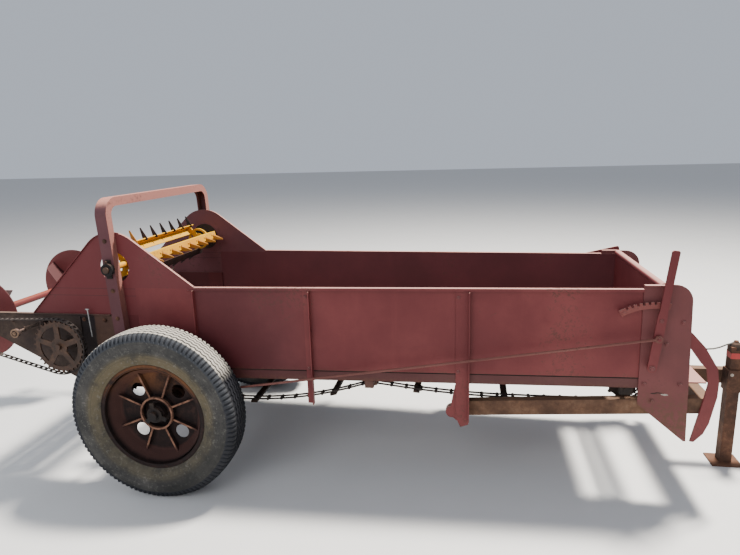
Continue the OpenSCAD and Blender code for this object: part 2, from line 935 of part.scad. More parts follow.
// A lever's outline from its pivot: it narrows to a blunt end
module lever_bar(length) {
    w0 = lever_w / 2;
    w1 = lever_w * 0.41;
    polygon([[0, -w0], [length * 0.45, -w0], [length * 0.5, -w1], [length - 6, -w1],
             [length, -w1 + 6], [length, w1 - 6], [length - 6, w1], [length * 0.5, w1],
             [length * 0.45, w0], [0, w0]]);
    circle(w0);
}

module feed_lever() {
    color(paint)
        machine()
            on_side(-1)
                translate([lever_x, 0, lever_z])
                    rotate([0, -lever_angle, 0])
                        union() {
                            side_plate(lever_y, lever_y + lever_t) lever_bar(lever_len);
                            cross_bar(0, 0, pivot_r, plate_t + 0.3, lever_y + 1);
                            cross_bar(rod_arm, 0, pin_r, lever_y, rod_y + 12);
                        }
}

rod_slope = 8.2;

// A round rod with an eye at its front end, from the pin at [x, z] back to rear_x
module control_rod(x, z, slope, rear_x) {
    length = (x - rear_x) / cos(slope);
    translate([x, rod_y, z])
        rotate([0, -slope, 0])
            difference() {
                union() {
                    translate([-length, 0, 0])
                        rotate([0, 90, 0]) cylinder(r = rod_r, h = length - pin_r);
                    cross_bar(0, 0, eye_r, -eye_half, eye_half);
                }
                cross_bar(0, 0, pin_r + 0.1, -eye_half - 1, eye_half + 1);
            }
}

feed_pin = [lever_x + rod_arm * cos(lever_angle), lever_z + rod_arm * sin(lever_angle)];

module feed_rod() {
    color(rust)
        machine()
            on_side(-1) control_rod(feed_pin[0], feed_pin[1], rod_slope, feed_rod_rear_x);
}

clutch_x = 1906;
clutch_z = 946;
clutch_angle = 13.6;
clutch_arm = 80;
clutch_arm_angle = 262;

module clutch_lever() {
    color(paint)
        machine()
            on_side(1)
                translate([clutch_x, 0, clutch_z]) {
                    side_plate(lever_y, lever_y + lever_t) {
                        rotate(clutch_angle) lever_bar(lever_len - 20);
                        rotate(clutch_arm_angle) {
                            translate([0, -lever_w / 2 + 4]) square([clutch_arm, lever_w - 8]);
                            translate([clutch_arm, 0]) circle(lever_w / 2 - 4);
                        }
                    }
                    rotate([0, -clutch_arm_angle, 0])
                        cross_bar(clutch_arm, 0, pin_r, lever_y, rod_y + 12);
                    cross_bar(0, 0, pivot_r, 0.3, lever_y + 1);
                }
}

clutch_rod_slope = 12;

clutch_pin = [clutch_x + clutch_arm * cos(clutch_arm_angle),
              clutch_z + clutch_arm * sin(clutch_arm_angle)];

module clutch_rod() {
    color(rust)
        machine()
            on_side(1) control_rod(clutch_pin[0], clutch_pin[1], clutch_rod_slope, clutch_rod_rear_x);
}

// Eyes under the sills that guide the rear ends of the rods
module rod_guide(x, z) {
    difference() {
        union() {
            translate([x - 4, -30, z - 10]) cube([8, 26, sill_z - z + 10]);
            translate([x - 4, -30, z - 10]) cube([8, 30 + rod_y - rod_r, 20]);
            translate([x - 4, rod_y, z]) rotate([0, 90, 0]) cylinder(r = rod_r + guide_gap + 4, h = 8);
        }
        translate([x - 5, rod_y, z]) rotate([0, 90, 0]) cylinder(r = rod_r + guide_gap, h = 10);
    }
}

module rod_guides() {
    color(rust)
        machine() {
            on_side(-1)
                rod_guide(feed_guide_x, feed_pin[1] - (feed_pin[0] - feed_guide_x) * tan(rod_slope));
            on_side(1)
                rod_guide(clutch_guide_x,
                          clutch_pin[1] - (clutch_pin[0] - clutch_guide_x) * tan(clutch_rod_slope));
        }
}

// Apron: two chains with slats over the floor, and the slack return run below

run_z = floor_top + 0.3;
apron_axis_z = sill_z - apron_shaft_r - 4;
wrap_r = run_z - apron_axis_z;
wrap_low_z = apron_axis_z - wrap_r - apron_chain_h;
front_low_x = 1750;
slat_half = apron_chain_y + apron_chain_w;

// Height of the return run's underside: it hangs below the axle, lies on the carrier and
// hangs again up to the front shaft
carrier_half = 24;
carrier_x0 = carrier_x - carrier_half;
carrier_x1 = carrier_x + carrier_half;
axle_clear_x = 330;
function sag_height(x) =
    x < 0 ? sag_z + (wrap_low_z - sag_z) * pow(x / apron_rear_x, 2)
    : x < axle_clear_x ? sag_z
    : x < carrier_x0 ? sag_z
        + (carrier_z - sag_z) * pow((x - axle_clear_x) / (carrier_x0 - axle_clear_x), 2)
    : x <= carrier_x1 ? carrier_z
    : x < front_low_x ? front_run_z
        + (carrier_z - front_run_z) * pow((front_low_x - x) / (front_low_x - carrier_x1), 2)
    : front_run_z
        + (wrap_low_z - front_run_z) * pow((x - front_low_x) / (apron_front_x - front_low_x), 2);
function spaced(x0, x1, count) = [for (i = [0:count - 1]) x0 + i * (x1 - x0) / count];

module apron_run() {
    color(rust)
        machine()
            for (s = [-1, 1])
                translate([apron_rear_x, s * apron_chain_y - apron_chain_w / 2, run_z])
                    cube([apron_front_x - apron_rear_x, apron_chain_w, apron_chain_h]);
}

module apron_return() {
    xs = concat([apron_rear_x * 0.75, apron_rear_x * 0.5, apron_rear_x * 0.25],
                spaced(0, axle_clear_x, 1), spaced(axle_clear_x, carrier_x0, 8),
                spaced(carrier_x0, carrier_x1, 1), spaced(carrier_x1, front_low_x, 8),
                spaced(front_low_x, apron_front_x, 6));
    rear = [apron_rear_x, apron_axis_z];
    front = [apron_front_x, apron_axis_z];
    outer_r = wrap_r + apron_chain_h;
    color(rust)
        machine()
            for (s = [-1, 1])
                side_plate(s * apron_chain_y - apron_chain_w / 2, s * apron_chain_y + apron_chain_w / 2)
                    polygon(concat(
                        arc_points(rear, outer_r, 90, 270, 12),
                        [for (x = xs) [x, sag_height(x)]],
                        arc_points(front, outer_r, -90, 90, 12),
                        arc_points(front, wrap_r, 90, -90, 12),
                        [for (i = [len(xs) - 1:-1:0]) [xs[i], sag_height(xs[i]) + apron_chain_h]],
                        arc_points(rear, wrap_r, 270, 90, 12)));
}

slat_start = -200;
return_slat_start = 377;

module apron_slats() {
    color(dark_iron)
        machine() {
            for (x = [slat_start:slat_pitch:apron_front_x - slat_w])
                translate([x, -slat_half, run_z + apron_chain_h])
                    cube([slat_w, 2 * slat_half, slat_h]);
            for (x = [return_slat_start:slat_pitch:apron_front_x - 120])
                translate([x, 0, sag_height(x) - 0.1])
                    rotate([0, -atan(sag_height(x + 0.5) - sag_height(x - 0.5)), 0])
                        translate([-slat_w / 2, -slat_half, -slat_h])
                            cube([slat_w, 2 * slat_half, slat_h]);
        }
}

ratchet_r = 84;
ratchet_teeth = 16;

// The saw-toothed wheel that feeds the apron, drawn about the y axis
module ratchet_wheel() {
    step = 360 / ratchet_teeth;
    side_plate(-5, 5)
        polygon([for (i = [0:ratchet_teeth - 1], k = [0, 1])
            (ratchet_r - 12 * k) * [cos((i + 0.9 * k) * step), sin((i + 0.9 * k) * step)]]);
}

module apron_shafts() {
    color(dark_iron)
        machine() {
            cross_bar(apron_rear_x, apron_axis_z, apron_shaft_r, -half_rear - 32, half_rear);
            translate([apron_rear_x, -half_rear - 21, apron_axis_z]) ratchet_wheel();
            front_half = half_at(apron_front_x) - sill_t;
            cross_bar(apron_front_x, apron_axis_z, apron_shaft_r, -front_half, front_half);
            for (s = [-1, 1])
                on_hand(s)
                    translate([apron_front_x - 30, front_half - 36, apron_axis_z - 26])
                        cube([60, 30, sill_z - apron_axis_z + 26]);
            for (x = [apron_rear_x, apron_front_x])
                for (s = [-1, 1])
                    translate([x, s * apron_chain_y, apron_axis_z])
                        sprocket(apron_r, 10, 12, 20, 0);
        }
}

// The timber under the sills, with the straps that carry the return run
module return_carrier() {
    timber_h = 40;
    strap_w = apron_chain_w + 18;
    color(wood)
        machine() {
            translate([carrier_x - 22, -half_at(carrier_x) + 6, sill_z - timber_h])
                cube([44, 2 * half_at(carrier_x) - 12, timber_h]);
            for (s = [-1, 1])
                on_hand(s) {
                    translate([carrier_x - 20, apron_chain_y - strap_w / 2, carrier_z - 6.3])
                        cube([40, strap_w, 6]);
                    for (y = [-strap_w / 2, strap_w / 2 - 5])
                        translate([carrier_x - 20, apron_chain_y + y, carrier_z - 6.3])
                            cube([40, 5, sill_z - timber_h - carrier_z + 6.3]);
                }
        }
}

// Beaters: a shaft, spiders, angle-iron bars and rows of flat teeth

tooth_twist = 50;
tooth_lean = 31;

// A row of teeth on the leading edge of a bar: each leans forward and is turned on its length
module tooth_row(bar_r, count) {
    for (i = [0:count - 1])
        translate([bar_r - 3, -bar_half + (i + 0.5) * 2 * bar_half / count, 9 - bar_leg / 2])
            rotate([0, tooth_lean, 0])
                rotate([-tooth_twist, 0, 0])
                    side_plate(-bar_t / 2, bar_t / 2)
                        polygon([[-6, -tooth_w / 2], [tooth_h, -2], [tooth_h, 2],
                             [-6, tooth_w / 2]]);
}

module beater_drum(bar_r, bars, turn) {
    for (i = [0:bars - 1])
        rotate([0, -turn - i * 360 / bars, 0]) {
            translate([bar_r - bar_t, -bar_half, -bar_leg / 2])
                cube([bar_t, 2 * bar_half, bar_leg]);
            translate([bar_r - bar_leg, -bar_half, bar_leg / 2 - bar_t])
                cube([bar_leg, 2 * bar_half, bar_t]);
            tooth_row(bar_r, tooth_count);
        }
    for (y = [-bar_half + 40, bar_half - 52])
        side_plate(y, y + 12) {
            circle(34);
            difference() {
                circle(0.66 * bar_r);
                circle(0.66 * bar_r - 12);
            }
            for (i = [0:bars - 1])
                rotate(turn + i * 360 / bars)
                    translate([0, -14]) square([bar_r - 2, 28]);
        }
}

module main_beater() {
    color(yellow)
        machine()
            translate([main_x, 0, main_z]) {
                cross_bar(0, 0, shaft_r, right_chain_y - 20, beater_chain_y + 20);
                beater_drum(main_bar_r, main_bars, 15);
                translate([0, right_chain_y, 0])
                    rotate([0, -20, 0])
                        sprocket(right_sprocket_r, right_sprocket_teeth, sprocket_t, 38, 5);
                translate([0, axle_chain_y, 0]) sprocket(small_sprocket_r, 14, sprocket_t, 26, 0);
                translate([0, beater_chain_y, 0]) sprocket(small_sprocket_r, 14, sprocket_t, 26, 0);
            }
}

module upper_beater() {
    color(yellow)
        machine()
            translate([upper_x, 0, upper_z]) {
                cross_bar(0, 0, shaft_r, -arch_half - 34, beater_chain_y + 20);
                beater_drum(upper_bar_r, upper_bars, 13);
                translate([0, beater_chain_y, 0]) sprocket(small_sprocket_r, 14, sprocket_t, 26, 0);
            }
}

tube_r = 21;

module distributor() {
    color(paint)
        machine()
            translate([spread_x, 0, spread_z]) {
                cross_bar(0, 0, shaft_r, right_chain_y - 20, half_rear + 40);
                cross_bar(0, 0, tube_r, -disc_y - 1, disc_y + 1);
                for (s = [-1, 1])
                    on_hand(s) {
                        cross_bar(0, 0, tube_r + 6, disc_y + disc_t - 1, disc_y + disc_t + 24);
                        cross_bar(0, 0, disc_r, disc_y, disc_y + disc_t);
                        for (i = [0:paddle_count - 1])
                            rotate([0, 45 + i * 360 / paddle_count, 0])
                                translate([0, 0, -2])
                                    linear_extrude(4)
                                        polygon([[12, disc_y + 1], [disc_r - 20, disc_y + 1],
                                                 [disc_r - 60, disc_y - 110], [12, disc_y - 150]]);
                    }
                translate([0, right_chain_y, 0]) sprocket(spread_sprocket_r, 9, sprocket_t, 26, 0);
            }
}

// Drive chains: each is one fixed loop round two sprockets

function belt_points(c1, r1, c2, r2) =
    let (along = atan2(c2[1] - c1[1], c2[0] - c1[0]),
         open = acos((r1 - r2) / norm(c2 - c1)))
    concat(arc_points(c1, r1, along + open, along + 360 - open, 20),
           arc_points(c2, r2, along - open, along + open, 12));

module chain_loop(c1, tip1, c2, tip2, y) {
    color(rust)
        machine()
            side_plate(y - chain_w / 2, y + chain_w / 2)
                difference() {
                    polygon(belt_points(c1, tip1 + chain_gap + chain_h, c2, tip2 + chain_gap + chain_h));
                    polygon(belt_points(c1, tip1 + chain_gap, c2, tip2 + chain_gap));
                }
}

module chain_right() {
    chain_loop([main_x, main_z], right_sprocket_r, [spread_x, spread_z], spread_sprocket_r,
               right_chain_y);
}

module chain_axle() {
    chain_loop([0, axle_z], axle_sprocket_r, [main_x, main_z], small_sprocket_r, axle_chain_y);
}

module chain_beaters() {
    chain_loop([main_x, main_z], small_sprocket_r, [upper_x, upper_z], small_sprocket_r,
               beater_chain_y);
}

// The tensioner of the right-hand chain: a stud on the frame, an arm and a ring
arm_pivot = [-700, 850];
idler = [-804, 812];
idler_r = 22;
arm_w = 26;
arm_t = 8;

module chain_tensioner() {
    arm_y = -half_rear - 44;
    color(rust)
        machine()
            union() {
                cross_bar(arm_pivot[0], arm_pivot[1], 11, arm_y - arm_t - 6, -half_rear);
                side_plate(arm_y - arm_t, arm_y)
                    union() {
                        translate(arm_pivot) circle(arm_w / 2 + 4);
                        translate(idler) circle(arm_w / 2 + 2);
                        translate(arm_pivot)
                            rotate(atan2(idler[1] - arm_pivot[1], idler[0] - arm_pivot[0]))
                                translate([0, -arm_w / 2])
                                    square([norm(idler - arm_pivot), arm_w]);
                    }
                cross_bar(idler[0], idler[1], 9, right_chain_y - 12, arm_y - 1);
                cross_bar(idler[0], idler[1], idler_r, right_chain_y - 8, right_chain_y + 8);
            }
}

tyre_right();
wheel_right();
tyre_left();
wheel_left();
axle();
side_panel_right();
side_panel_left();
raised_side_right();
raised_side_left();
headboard();
floor_boards();
sill_right();
sill_left();
cross_members();
stakes_right();
stakes_left();
front_plate_right();
front_plate_left();
arch();
upper_bearings();
rear_frame_right();
rear_frame_left();
axle_hangers();
tongue();
hitch_frame();
beam_brackets();
front_braces();
front_angle();
jack_leg();
jack_sleeve();
quadrant();
feed_lever();
feed_rod();
clutch_lever();
clutch_rod();
rod_guides();
apron_run();
apron_return();
apron_slats();
apron_shafts();
return_carrier();
main_beater();
upper_beater();
distributor();
chain_right();
chain_axle();
chain_beaters();
chain_tensioner();
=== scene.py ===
import json
import math
import bmesh
import bpy
from mathutils import Matrix, Vector, geometry


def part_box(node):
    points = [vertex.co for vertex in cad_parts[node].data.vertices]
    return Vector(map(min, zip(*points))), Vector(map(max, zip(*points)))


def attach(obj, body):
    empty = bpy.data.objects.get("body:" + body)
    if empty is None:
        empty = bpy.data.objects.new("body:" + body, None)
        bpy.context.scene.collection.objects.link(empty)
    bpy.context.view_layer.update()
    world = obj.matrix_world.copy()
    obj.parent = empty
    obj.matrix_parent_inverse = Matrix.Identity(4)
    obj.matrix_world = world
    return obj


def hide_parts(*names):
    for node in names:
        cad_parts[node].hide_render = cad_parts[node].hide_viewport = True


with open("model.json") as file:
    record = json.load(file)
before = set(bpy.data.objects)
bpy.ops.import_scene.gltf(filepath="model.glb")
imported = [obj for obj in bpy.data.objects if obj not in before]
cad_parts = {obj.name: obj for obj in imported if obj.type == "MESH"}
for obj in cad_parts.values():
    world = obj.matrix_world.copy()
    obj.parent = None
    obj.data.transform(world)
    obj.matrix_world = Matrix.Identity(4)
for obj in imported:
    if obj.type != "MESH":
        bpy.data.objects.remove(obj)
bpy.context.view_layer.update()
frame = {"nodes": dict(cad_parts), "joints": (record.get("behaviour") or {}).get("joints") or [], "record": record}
NODES = frame["nodes"]
JOINTS = {joint["name"]: joint["pos_m"] for joint in frame["joints"]}


def shaft_at(joint):
    """(x, z) of a joint that turns about a line along y."""
    x, _, z = JOINTS[joint]
    return x, z


# Places and sizes in metres: x forward, y to the left, z up from the floor

X, Y, Z = 0, 1, 2
ALONG_Y = (0, 1, 0)
UPRIGHT = ((1, 0, 0), (0, 0, 1))

AXLE = shaft_at("axle_spin")
MAIN = shaft_at("main_beater_spin")
UPPER = shaft_at("upper_beater_spin")
SPREADER = shaft_at("distributor_spin")
AXLE_X, AXLE_Z = AXLE
JACK_X, JACK_Y, _ = JOINTS["jack_raise"]
WHEEL_Y = JOINTS["wheel_left_spin"][Y]

# The tyres stand on the floor
TYRE_R = AXLE_Z
TYRE_HALF, RIM_R = 0.095, 0.262
TYRE_ROWS = 324
ROWS_PER_CUT = 3

# The sides of the box run straight from the rear to the bend, and narrow from there to the headboard
HALF_REAR = 0.530
BEND_X = AXLE_X + 0.168
HEADBOARD_X = AXLE_X + 2.400
NARROWING = 0.090
TAPER = math.atan(NARROWING / (HEADBOARD_X - BEND_X))


def on_side(d, off, z, side=-1):
    """A point on a side of the box: d along it from the bend, off outward, and the outward normal."""
    t = TAPER if d > 0 else 0
    place = (BEND_X + d * math.cos(t) + off * math.sin(t),
             side * (HALF_REAR - d * math.sin(t) + off * math.cos(t)), z)
    return place, (math.sin(t), side * math.cos(t), 0)


# Materials

class Graph:
    """A material's node tree, with short calls for the nodes used here."""

    def __init__(self, name):
        self.material = bpy.data.materials.new(name)
        self.material.use_nodes = True
        self.tree = self.material.node_tree
        self.tree.nodes.clear()
        coords = self.tree.nodes.new("ShaderNodeTexCoord")
        self.coords = coords.outputs["Object"]
        self.normal = coords.outputs["Normal"]
        self.shader = self.tree.nodes.new("ShaderNodeBsdfPrincipled")
        out = self.tree.nodes.new("ShaderNodeOutputMaterial")
        self.link(self.shader.outputs[0], out.inputs[0])

    def link(self, a, b):
        self.tree.links.new(a, b)

    def put(self, value, socket):
        """Links a socket, or sets a constant."""
        if isinstance(value, bpy.types.NodeSocket):
            self.link(value, socket)
        else:
            socket.default_value = value

    def put_colour(self, value, socket):
        self.put(value if isinstance(value, bpy.types.NodeSocket) else (*value, 1), socket)

    def stretched(self, x, y, z):
        """The coordinates, scaled along each axis."""
        node = self.tree.nodes.new("ShaderNodeMapping")
        node.inputs["Scale"].default_value = (x, y, z)
        self.link(self.coords, node.inputs["Vector"])
        return node.outputs[0]

    def noise(self, scale, detail=6, rough=0.6, where=None, distortion=0.0):
        node = self.tree.nodes.new("ShaderNodeTexNoise")
        self.link(where or self.coords, node.inputs["Vector"])
        node.inputs["Scale"].default_value = scale
        node.inputs["Detail"].default_value = detail
        node.inputs["Roughness"].default_value = rough
        node.inputs["Distortion"].default_value = distortion
        return node.outputs["Fac"]

    def ramp(self, value, stops):
        """A colour for each value, from (value, colour) stops."""
        node = self.tree.nodes.new("ShaderNodeValToRGB")
        self.link(value, node.inputs[0])
        ramp = node.color_ramp
        while len(ramp.elements) < len(stops):
            ramp.elements.new(0.5)
        for element, (place, colour) in zip(ramp.elements, stops):
            element.position = place
            element.color = (*colour, 1)
        return node.outputs[0]

    def mix(self, share, a, b, how="MIX"):
        node = self.tree.nodes.new("ShaderNodeMix")
        node.data_type = "RGBA"
        node.blend_type = how
        # Inputs 6 and 7 and output 2 are the node's sockets for colours
        self.put(share, node.inputs[0])
        self.put_colour(a, node.inputs[6])
        self.put_colour(b, node.inputs[7])
        return node.outputs[2]

    def maths(self, how, a, b=0.0):
        node = self.tree.nodes.new("ShaderNodeMath")
        node.operation = how
        self.put(a, node.inputs[0])
        self.put(b, node.inputs[1])
        return node.outputs[0]

    def times(self, a, b):
        return self.maths("MULTIPLY", a, b)

    def part(self, axis, of):
        node = self.tree.nodes.new("ShaderNodeSeparateXYZ")
        self.link(of, node.inputs[0])
        return node.outputs[axis]

    def place(self, axis):
        return self.part(axis, self.coords)

    def facing(self, axis):
        return self.part(axis, self.normal)

    def rise(self, value, low, high):
        """0 below low and 1 above high, with a smooth step between."""
        node = self.tree.nodes.new("ShaderNodeMapRange")
        node.interpolation_type = "SMOOTHSTEP"
        self.link(value, node.inputs["Value"])
        node.inputs["From Min"].default_value = low
        node.inputs["From Max"].default_value = high
        return node.outputs[0]

    def fall(self, value, low, high):
        """1 below low and 0 above high, with a smooth step between."""
        return self.maths("SUBTRACT", 1.0, self.rise(value, low, high))

    def between(self, value, low, high, soft=0.0006):
        """1 from low to high and 0 outside, with edges twice soft wide."""
        over = self.rise(value, low - soft, low + soft)
        return self.times(over, self.fall(value, high - soft, high + soft))

    def facing_sky(self):
        """1 on faces that look up."""
        return self.rise(self.facing(Z), 0.5, 0.85)

    def off_middle(self):
        """Distance from the machine's middle plane."""
        return self.maths("ABSOLUTE", self.place(Y))

    def facing_middle(self):
        """1 on faces that look towards the machine's middle plane."""
        inward = self.times(self.times(self.place(Y), self.facing(Y)), -1.0)
        return self.rise(inward, 0.1, 0.2)

    def from_line(self, x, z):
        """Distance from the line along y through (x, z), with its parts along x and z."""
        dx = self.maths("SUBTRACT", self.place(X), x)
        dz = self.maths("SUBTRACT", self.place(Z), z)
        far = self.maths("SQRT", self.maths("ADD", self.times(dx, dx), self.times(dz, dz)))
        return far, dx, dz

    def done(self, colour, rough, spec, height=None, depth=0.0):
        """Sets the shader, with a bump of that depth where a height is given."""
        self.put(colour, self.shader.inputs["Base Color"])
        self.shader.inputs["Roughness"].default_value = rough
        self.shader.inputs["Specular IOR Level"].default_value = spec
        if height is not None:
            bump = self.tree.nodes.new("ShaderNodeBump")
            bump.inputs["Distance"].default_value = depth
            bump.inputs["Strength"].default_value = 0.8
            self.link(height, bump.inputs["Height"])
            self.link(bump.outputs[0], self.shader.inputs["Normal"])
        return self.material


RED = (0.098, 0.0145, 0.0165)
FADED = (0.15, 0.03, 0.03)
# Painted shade: the darker red below is given to faces that look towards the middle
SHADED_RED = (0.068, 0.0135, 0.016)
RUSTED = (0.055, 0.022, 0.015)


def scaled(colour, share):
    return tuple(share * c for c in colour)


def shaded_bay(g, colour, shade_bay):
    """Painted shade: darker paint from the bend forward, which fades out between the bay's two places."""
    shaded = g.mix(1.0, colour, (0.6, 0.58, 0.66), "MULTIPLY")
    inside = g.times(g.rise(g.place(X), BEND_X - 0.02, BEND_X + 0.01), g.fall(g.place(X), *shade_bay))
    return g.mix(inside, colour, shaded)


def shaded_paddles(g, colour, up, shaft):
    """Painted shade: dark upper faces off the shaft, which get no painted highlight either."""
    far, _, _ = g.from_line(*shaft)
    off_shaft = g.rise(far, 0.034, 0.045)
    upper = g.rise(g.facing(Z), 0.05, 0.3)
    colour = g.mix(g.times(g.times(upper, off_shaft), 0.75), colour, (0.032, 0.009, 0.01))
    return colour, g.times(up, g.maths("SUBTRACT", 1.0, off_shaft))


def rusted_foot(g, colour, foot):
    """A rust crust that thins out between the foot's two heights."""
    crust = g.rise(g.noise(45, 8, 0.7), 0.44, 0.56)
    return g.mix(g.times(g.fall(g.place(Z), *foot), crust), colour, (0.085, 0.034, 0.021))


def bare_ends(g, colour, from_y):
    """Bare iron further than from_y from the middle plane."""
    metal = g.ramp(g.noise(22, 10, 0.75),
                   [(0.3, (0.014, 0.009, 0.007)), (0.55, (0.05, 0.025, 0.015)), (0.75, (0.11, 0.06, 0.032))])
    return g.mix(g.rise(g.off_middle(), from_y, from_y + 0.002), colour, metal)


def worn_paint(name, base=RED, pale=FADED, rust=RUSTED, rust_from=0.66, streak=0.25, painted_top=(0.42, 0.225, 0.19),
               inner=None, foot=None, seams=(), ends=None, shade_bay=None, shaft=None, ahead=0.0):
    """Old matt paint: wide faded clouds, dust runs, rust spots, and a painted highlight where it faces the sky.

    A piece may also have an inner tone of painted shade, a rusted foot, dark seams as (axis, from, to),
    bare ends, a bay of painted shade, paddles round a shaft with painted shade on their upper faces,
    and a painted highlight by a share on faces that look ahead.
    """
    g = Graph(name)
    clouds = g.noise(1.8, 7, 0.62)
    runs = g.noise(1.0, 6, 0.6, g.stretched(15, 15, 1.5))
    specks = g.noise(60, 8, 0.75)
    colour = g.mix(g.rise(clouds, 0.36, 0.68), base, pale)
    colour = g.mix(g.times(g.rise(runs, 0.5, 0.75), streak), colour, pale)
    # Painted shade over the bay forward of the bend
    if shade_bay:
        colour = shaded_bay(g, colour, shade_bay)
    # Painted shade: faces that look towards the middle get the darker inner tone
    if inner:
        shade = g.mix(g.rise(clouds, 0.3, 0.7), inner, scaled(inner, 1.5))
        colour = g.mix(g.facing_middle(), colour, shade)
    # Painted highlight: faces that look up, and by a share those that look ahead, get the pale top colour
    up = g.times(g.rise(g.facing(Z), 0.45, 0.8), 0.85)
    if ahead:
        up = g.maths("MAXIMUM", up, g.times(g.rise(g.facing(X), 0.5, 0.85), ahead))
    # Painted shade: the paddles' upper faces off the shaft are darkened and lose the painted highlight
    if shaft:
        colour, up = shaded_paddles(g, colour, up, shaft)
    colour = g.mix(up, colour, g.mix(specks, painted_top, scaled(painted_top, 0.75)))
    spots = g.rise(g.times(specks, g.rise(clouds, 0.2, 0.65)), 0.46, 0.62)
    colour = g.mix(g.times(spots, 0.7), colour, rust)
    patches = g.rise(g.noise(6, 9, 0.74, distortion=0.5), rust_from, rust_from + 0.07)
    colour = g.mix(g.times(patches, 0.8), colour, rust)
    if foot:
        colour = rusted_foot(g, colour, foot)
    for axis, start, end in seams:
        colour = g.mix(g.times(g.between(g.place(axis), start, end), 0.75), colour, (0.03, 0.011, 0.011))
    if ends:
        colour = bare_ends(g, colour, ends)
    return g.done(colour, 0.6, 0.28, g.mix(0.5, specks, patches), 0.001)


def old_rust(name, dark, middle, light, scale=18):
    """Rust in three tones with a pitted surface, paler where it faces the sky."""
    g = Graph(name)
    wide = g.noise(4, 6, 0.6)
    fine = g.noise(scale, 10, 0.75)
    pits = g.noise(scale * 9, 4, 0.6)
    colour = g.ramp(fine, [(0.3, dark), (0.52, middle), (0.74, light)])
    colour = g.mix(g.rise(wide, 0.4, 0.65), colour, dark)
    colour = g.mix(g.times(g.facing_sky(), 0.45), colour, light)
    return g.done(colour, 0.85, 0.25, g.mix(0.5, fine, pits), 0.0025)


def frame_iron(name):
    """Rear frame plates: brown iron outside, old red paint inside and forward of the arch, with painted shade on
    the inside faces and in the recess.
    """
    recess_x, recess_z = (AXLE_X - 0.5, AXLE_X - 0.422), (0.64, 0.876)
    band_x = (AXLE_X - 0.415, AXLE_X - 0.29)
    painted_x = (AXLE_X - 0.27, AXLE_X - 0.255)
    worn_red = (0.08, 0.02, 0.02)
    g = Graph(name)
    fine = g.noise(20, 10, 0.75)
    wide = g.noise(5, 6, 0.6)
    colour = g.ramp(fine, [(0.3, (0.018, 0.012, 0.011)), (0.52, (0.042, 0.027, 0.021)),
                           (0.76, (0.08, 0.053, 0.038))])
    colour = g.mix(g.rise(wide, 0.45, 0.65), colour, (0.022, 0.014, 0.014))
    # Painted shadow: the recess is made nearly black
    recess_shade = g.times(g.between(g.place(X), *recess_x, 0.003), g.between(g.place(Z), *recess_z, 0.003))
    colour = g.mix(g.times(recess_shade, 0.7), colour, (0.012, 0.009, 0.011))
    band = g.between(g.place(X), *band_x, 0.004)
    colour = g.mix(g.times(band, 0.6), colour, g.mix(fine, (0.05, 0.024, 0.018), (0.13, 0.065, 0.042)))
    # Painted shade: the faces inside get a darker red
    colour = g.mix(g.facing_middle(), colour, g.mix(wide, SHADED_RED, worn_red))
    colour = g.mix(g.rise(g.place(X), *painted_x), colour, g.mix(wide, RED, worn_red))
    colour = g.mix(g.times(g.facing_sky(), 0.5), colour, (0.2, 0.12, 0.09))
    return g.done(colour, 0.8, 0.25, fine, 0.002)


def timber(name):
    """Old weathered boards with grain along x."""
    g = Graph(name)
    grain = g.noise(14, 8, 0.7, g.stretched(0.35, 9, 9), 0.4)
    wide = g.noise(2.5, 4, 0.6)
    colour = g.ramp(grain, [(0.3, (0.045, 0.026, 0.02)), (0.55, (0.12, 0.068, 0.05)),
                            (0.8, (0.22, 0.14, 0.11))])
    colour = g.mix(g.rise(wide, 0.4, 0.7), colour, (0.08, 0.038, 0.034))
    return g.done(colour, 0.9, 0.2, grain, 0.004)


def side_wall(g, dust, fine, far, dx, dz):
    """Dusty rubber with a tan ring at the rim, pale scuffs, moulded lines and a painted shadow low down."""
    rim_ring, moulded_lines = (0.264, 0.335), (0.318, 0.333, 0.386)
    colour = g.mix(g.rise(dust, 0.36, 0.68), (0.024, 0.024, 0.0235), (0.056, 0.053, 0.049))
    ring = g.times(g.between(far, *rim_ring, 0.018), g.rise(dust, 0.26, 0.54))
    ring = g.times(ring, g.maths("ADD", 0.5, g.times(g.rise(dz, -0.25, 0.15), 0.5)))
    colour = g.mix(g.times(ring, 0.8), colour, (0.095, 0.076, 0.042))
    colour = g.mix(g.times(g.rise(fine, 0.52, 0.7), 0.45), colour, (0.17, 0.16, 0.145))
    for r in moulded_lines:
        colour = g.mix(g.times(g.between(far, r, r + 0.0016), 0.5), colour, (0.02, 0.02, 0.02))
    # Painted shadow: a dark patch over the lower front of the side wall
    low_shadow = g.maths("SUBTRACT", g.times(dx, 0.62), g.times(dz, 0.78))
    low_shadow = g.rise(g.maths("ADD", low_shadow, g.times(dust, 0.1)), 0.31, 0.38)
    return g.mix(g.times(g.times(low_shadow, g.rise(far, 0.3, 0.33)), 0.6), colour, (0.016, 0.016, 0.015))


def shoulder(g, colour, far, dx, dz):
    """A dark shoulder, made darkest low down by painted shade, with painted shade in the cuts of the tread round
    it.
    """
    edge, cut = (TYRE_R - 0.042, TYRE_R - 0.004), (TYRE_R - 0.035, TYRE_R - 0.0045)
    # Painted shade: the shoulder is darker low down
    shoulder_shade = g.mix(g.rise(dz, -0.05, 0.25), (0.014, 0.015, 0.02), (0.036, 0.04, 0.048))
    colour = g.mix(g.times(g.between(far, *edge, 0.004), 0.8), colour, shoulder_shade)
    # Painted shade in the cuts round the shoulder
    turn = g.maths("COSINE", g.times(g.maths("ARCTAN2", dx, dz), TYRE_ROWS / ROWS_PER_CUT))
    cut_shade = g.times(g.between(far, *cut, 0.003), g.rise(turn, 0.1, 0.5))
    return g.mix(g.times(cut_shade, 0.8), colour, (0.008, 0.009, 0.012))


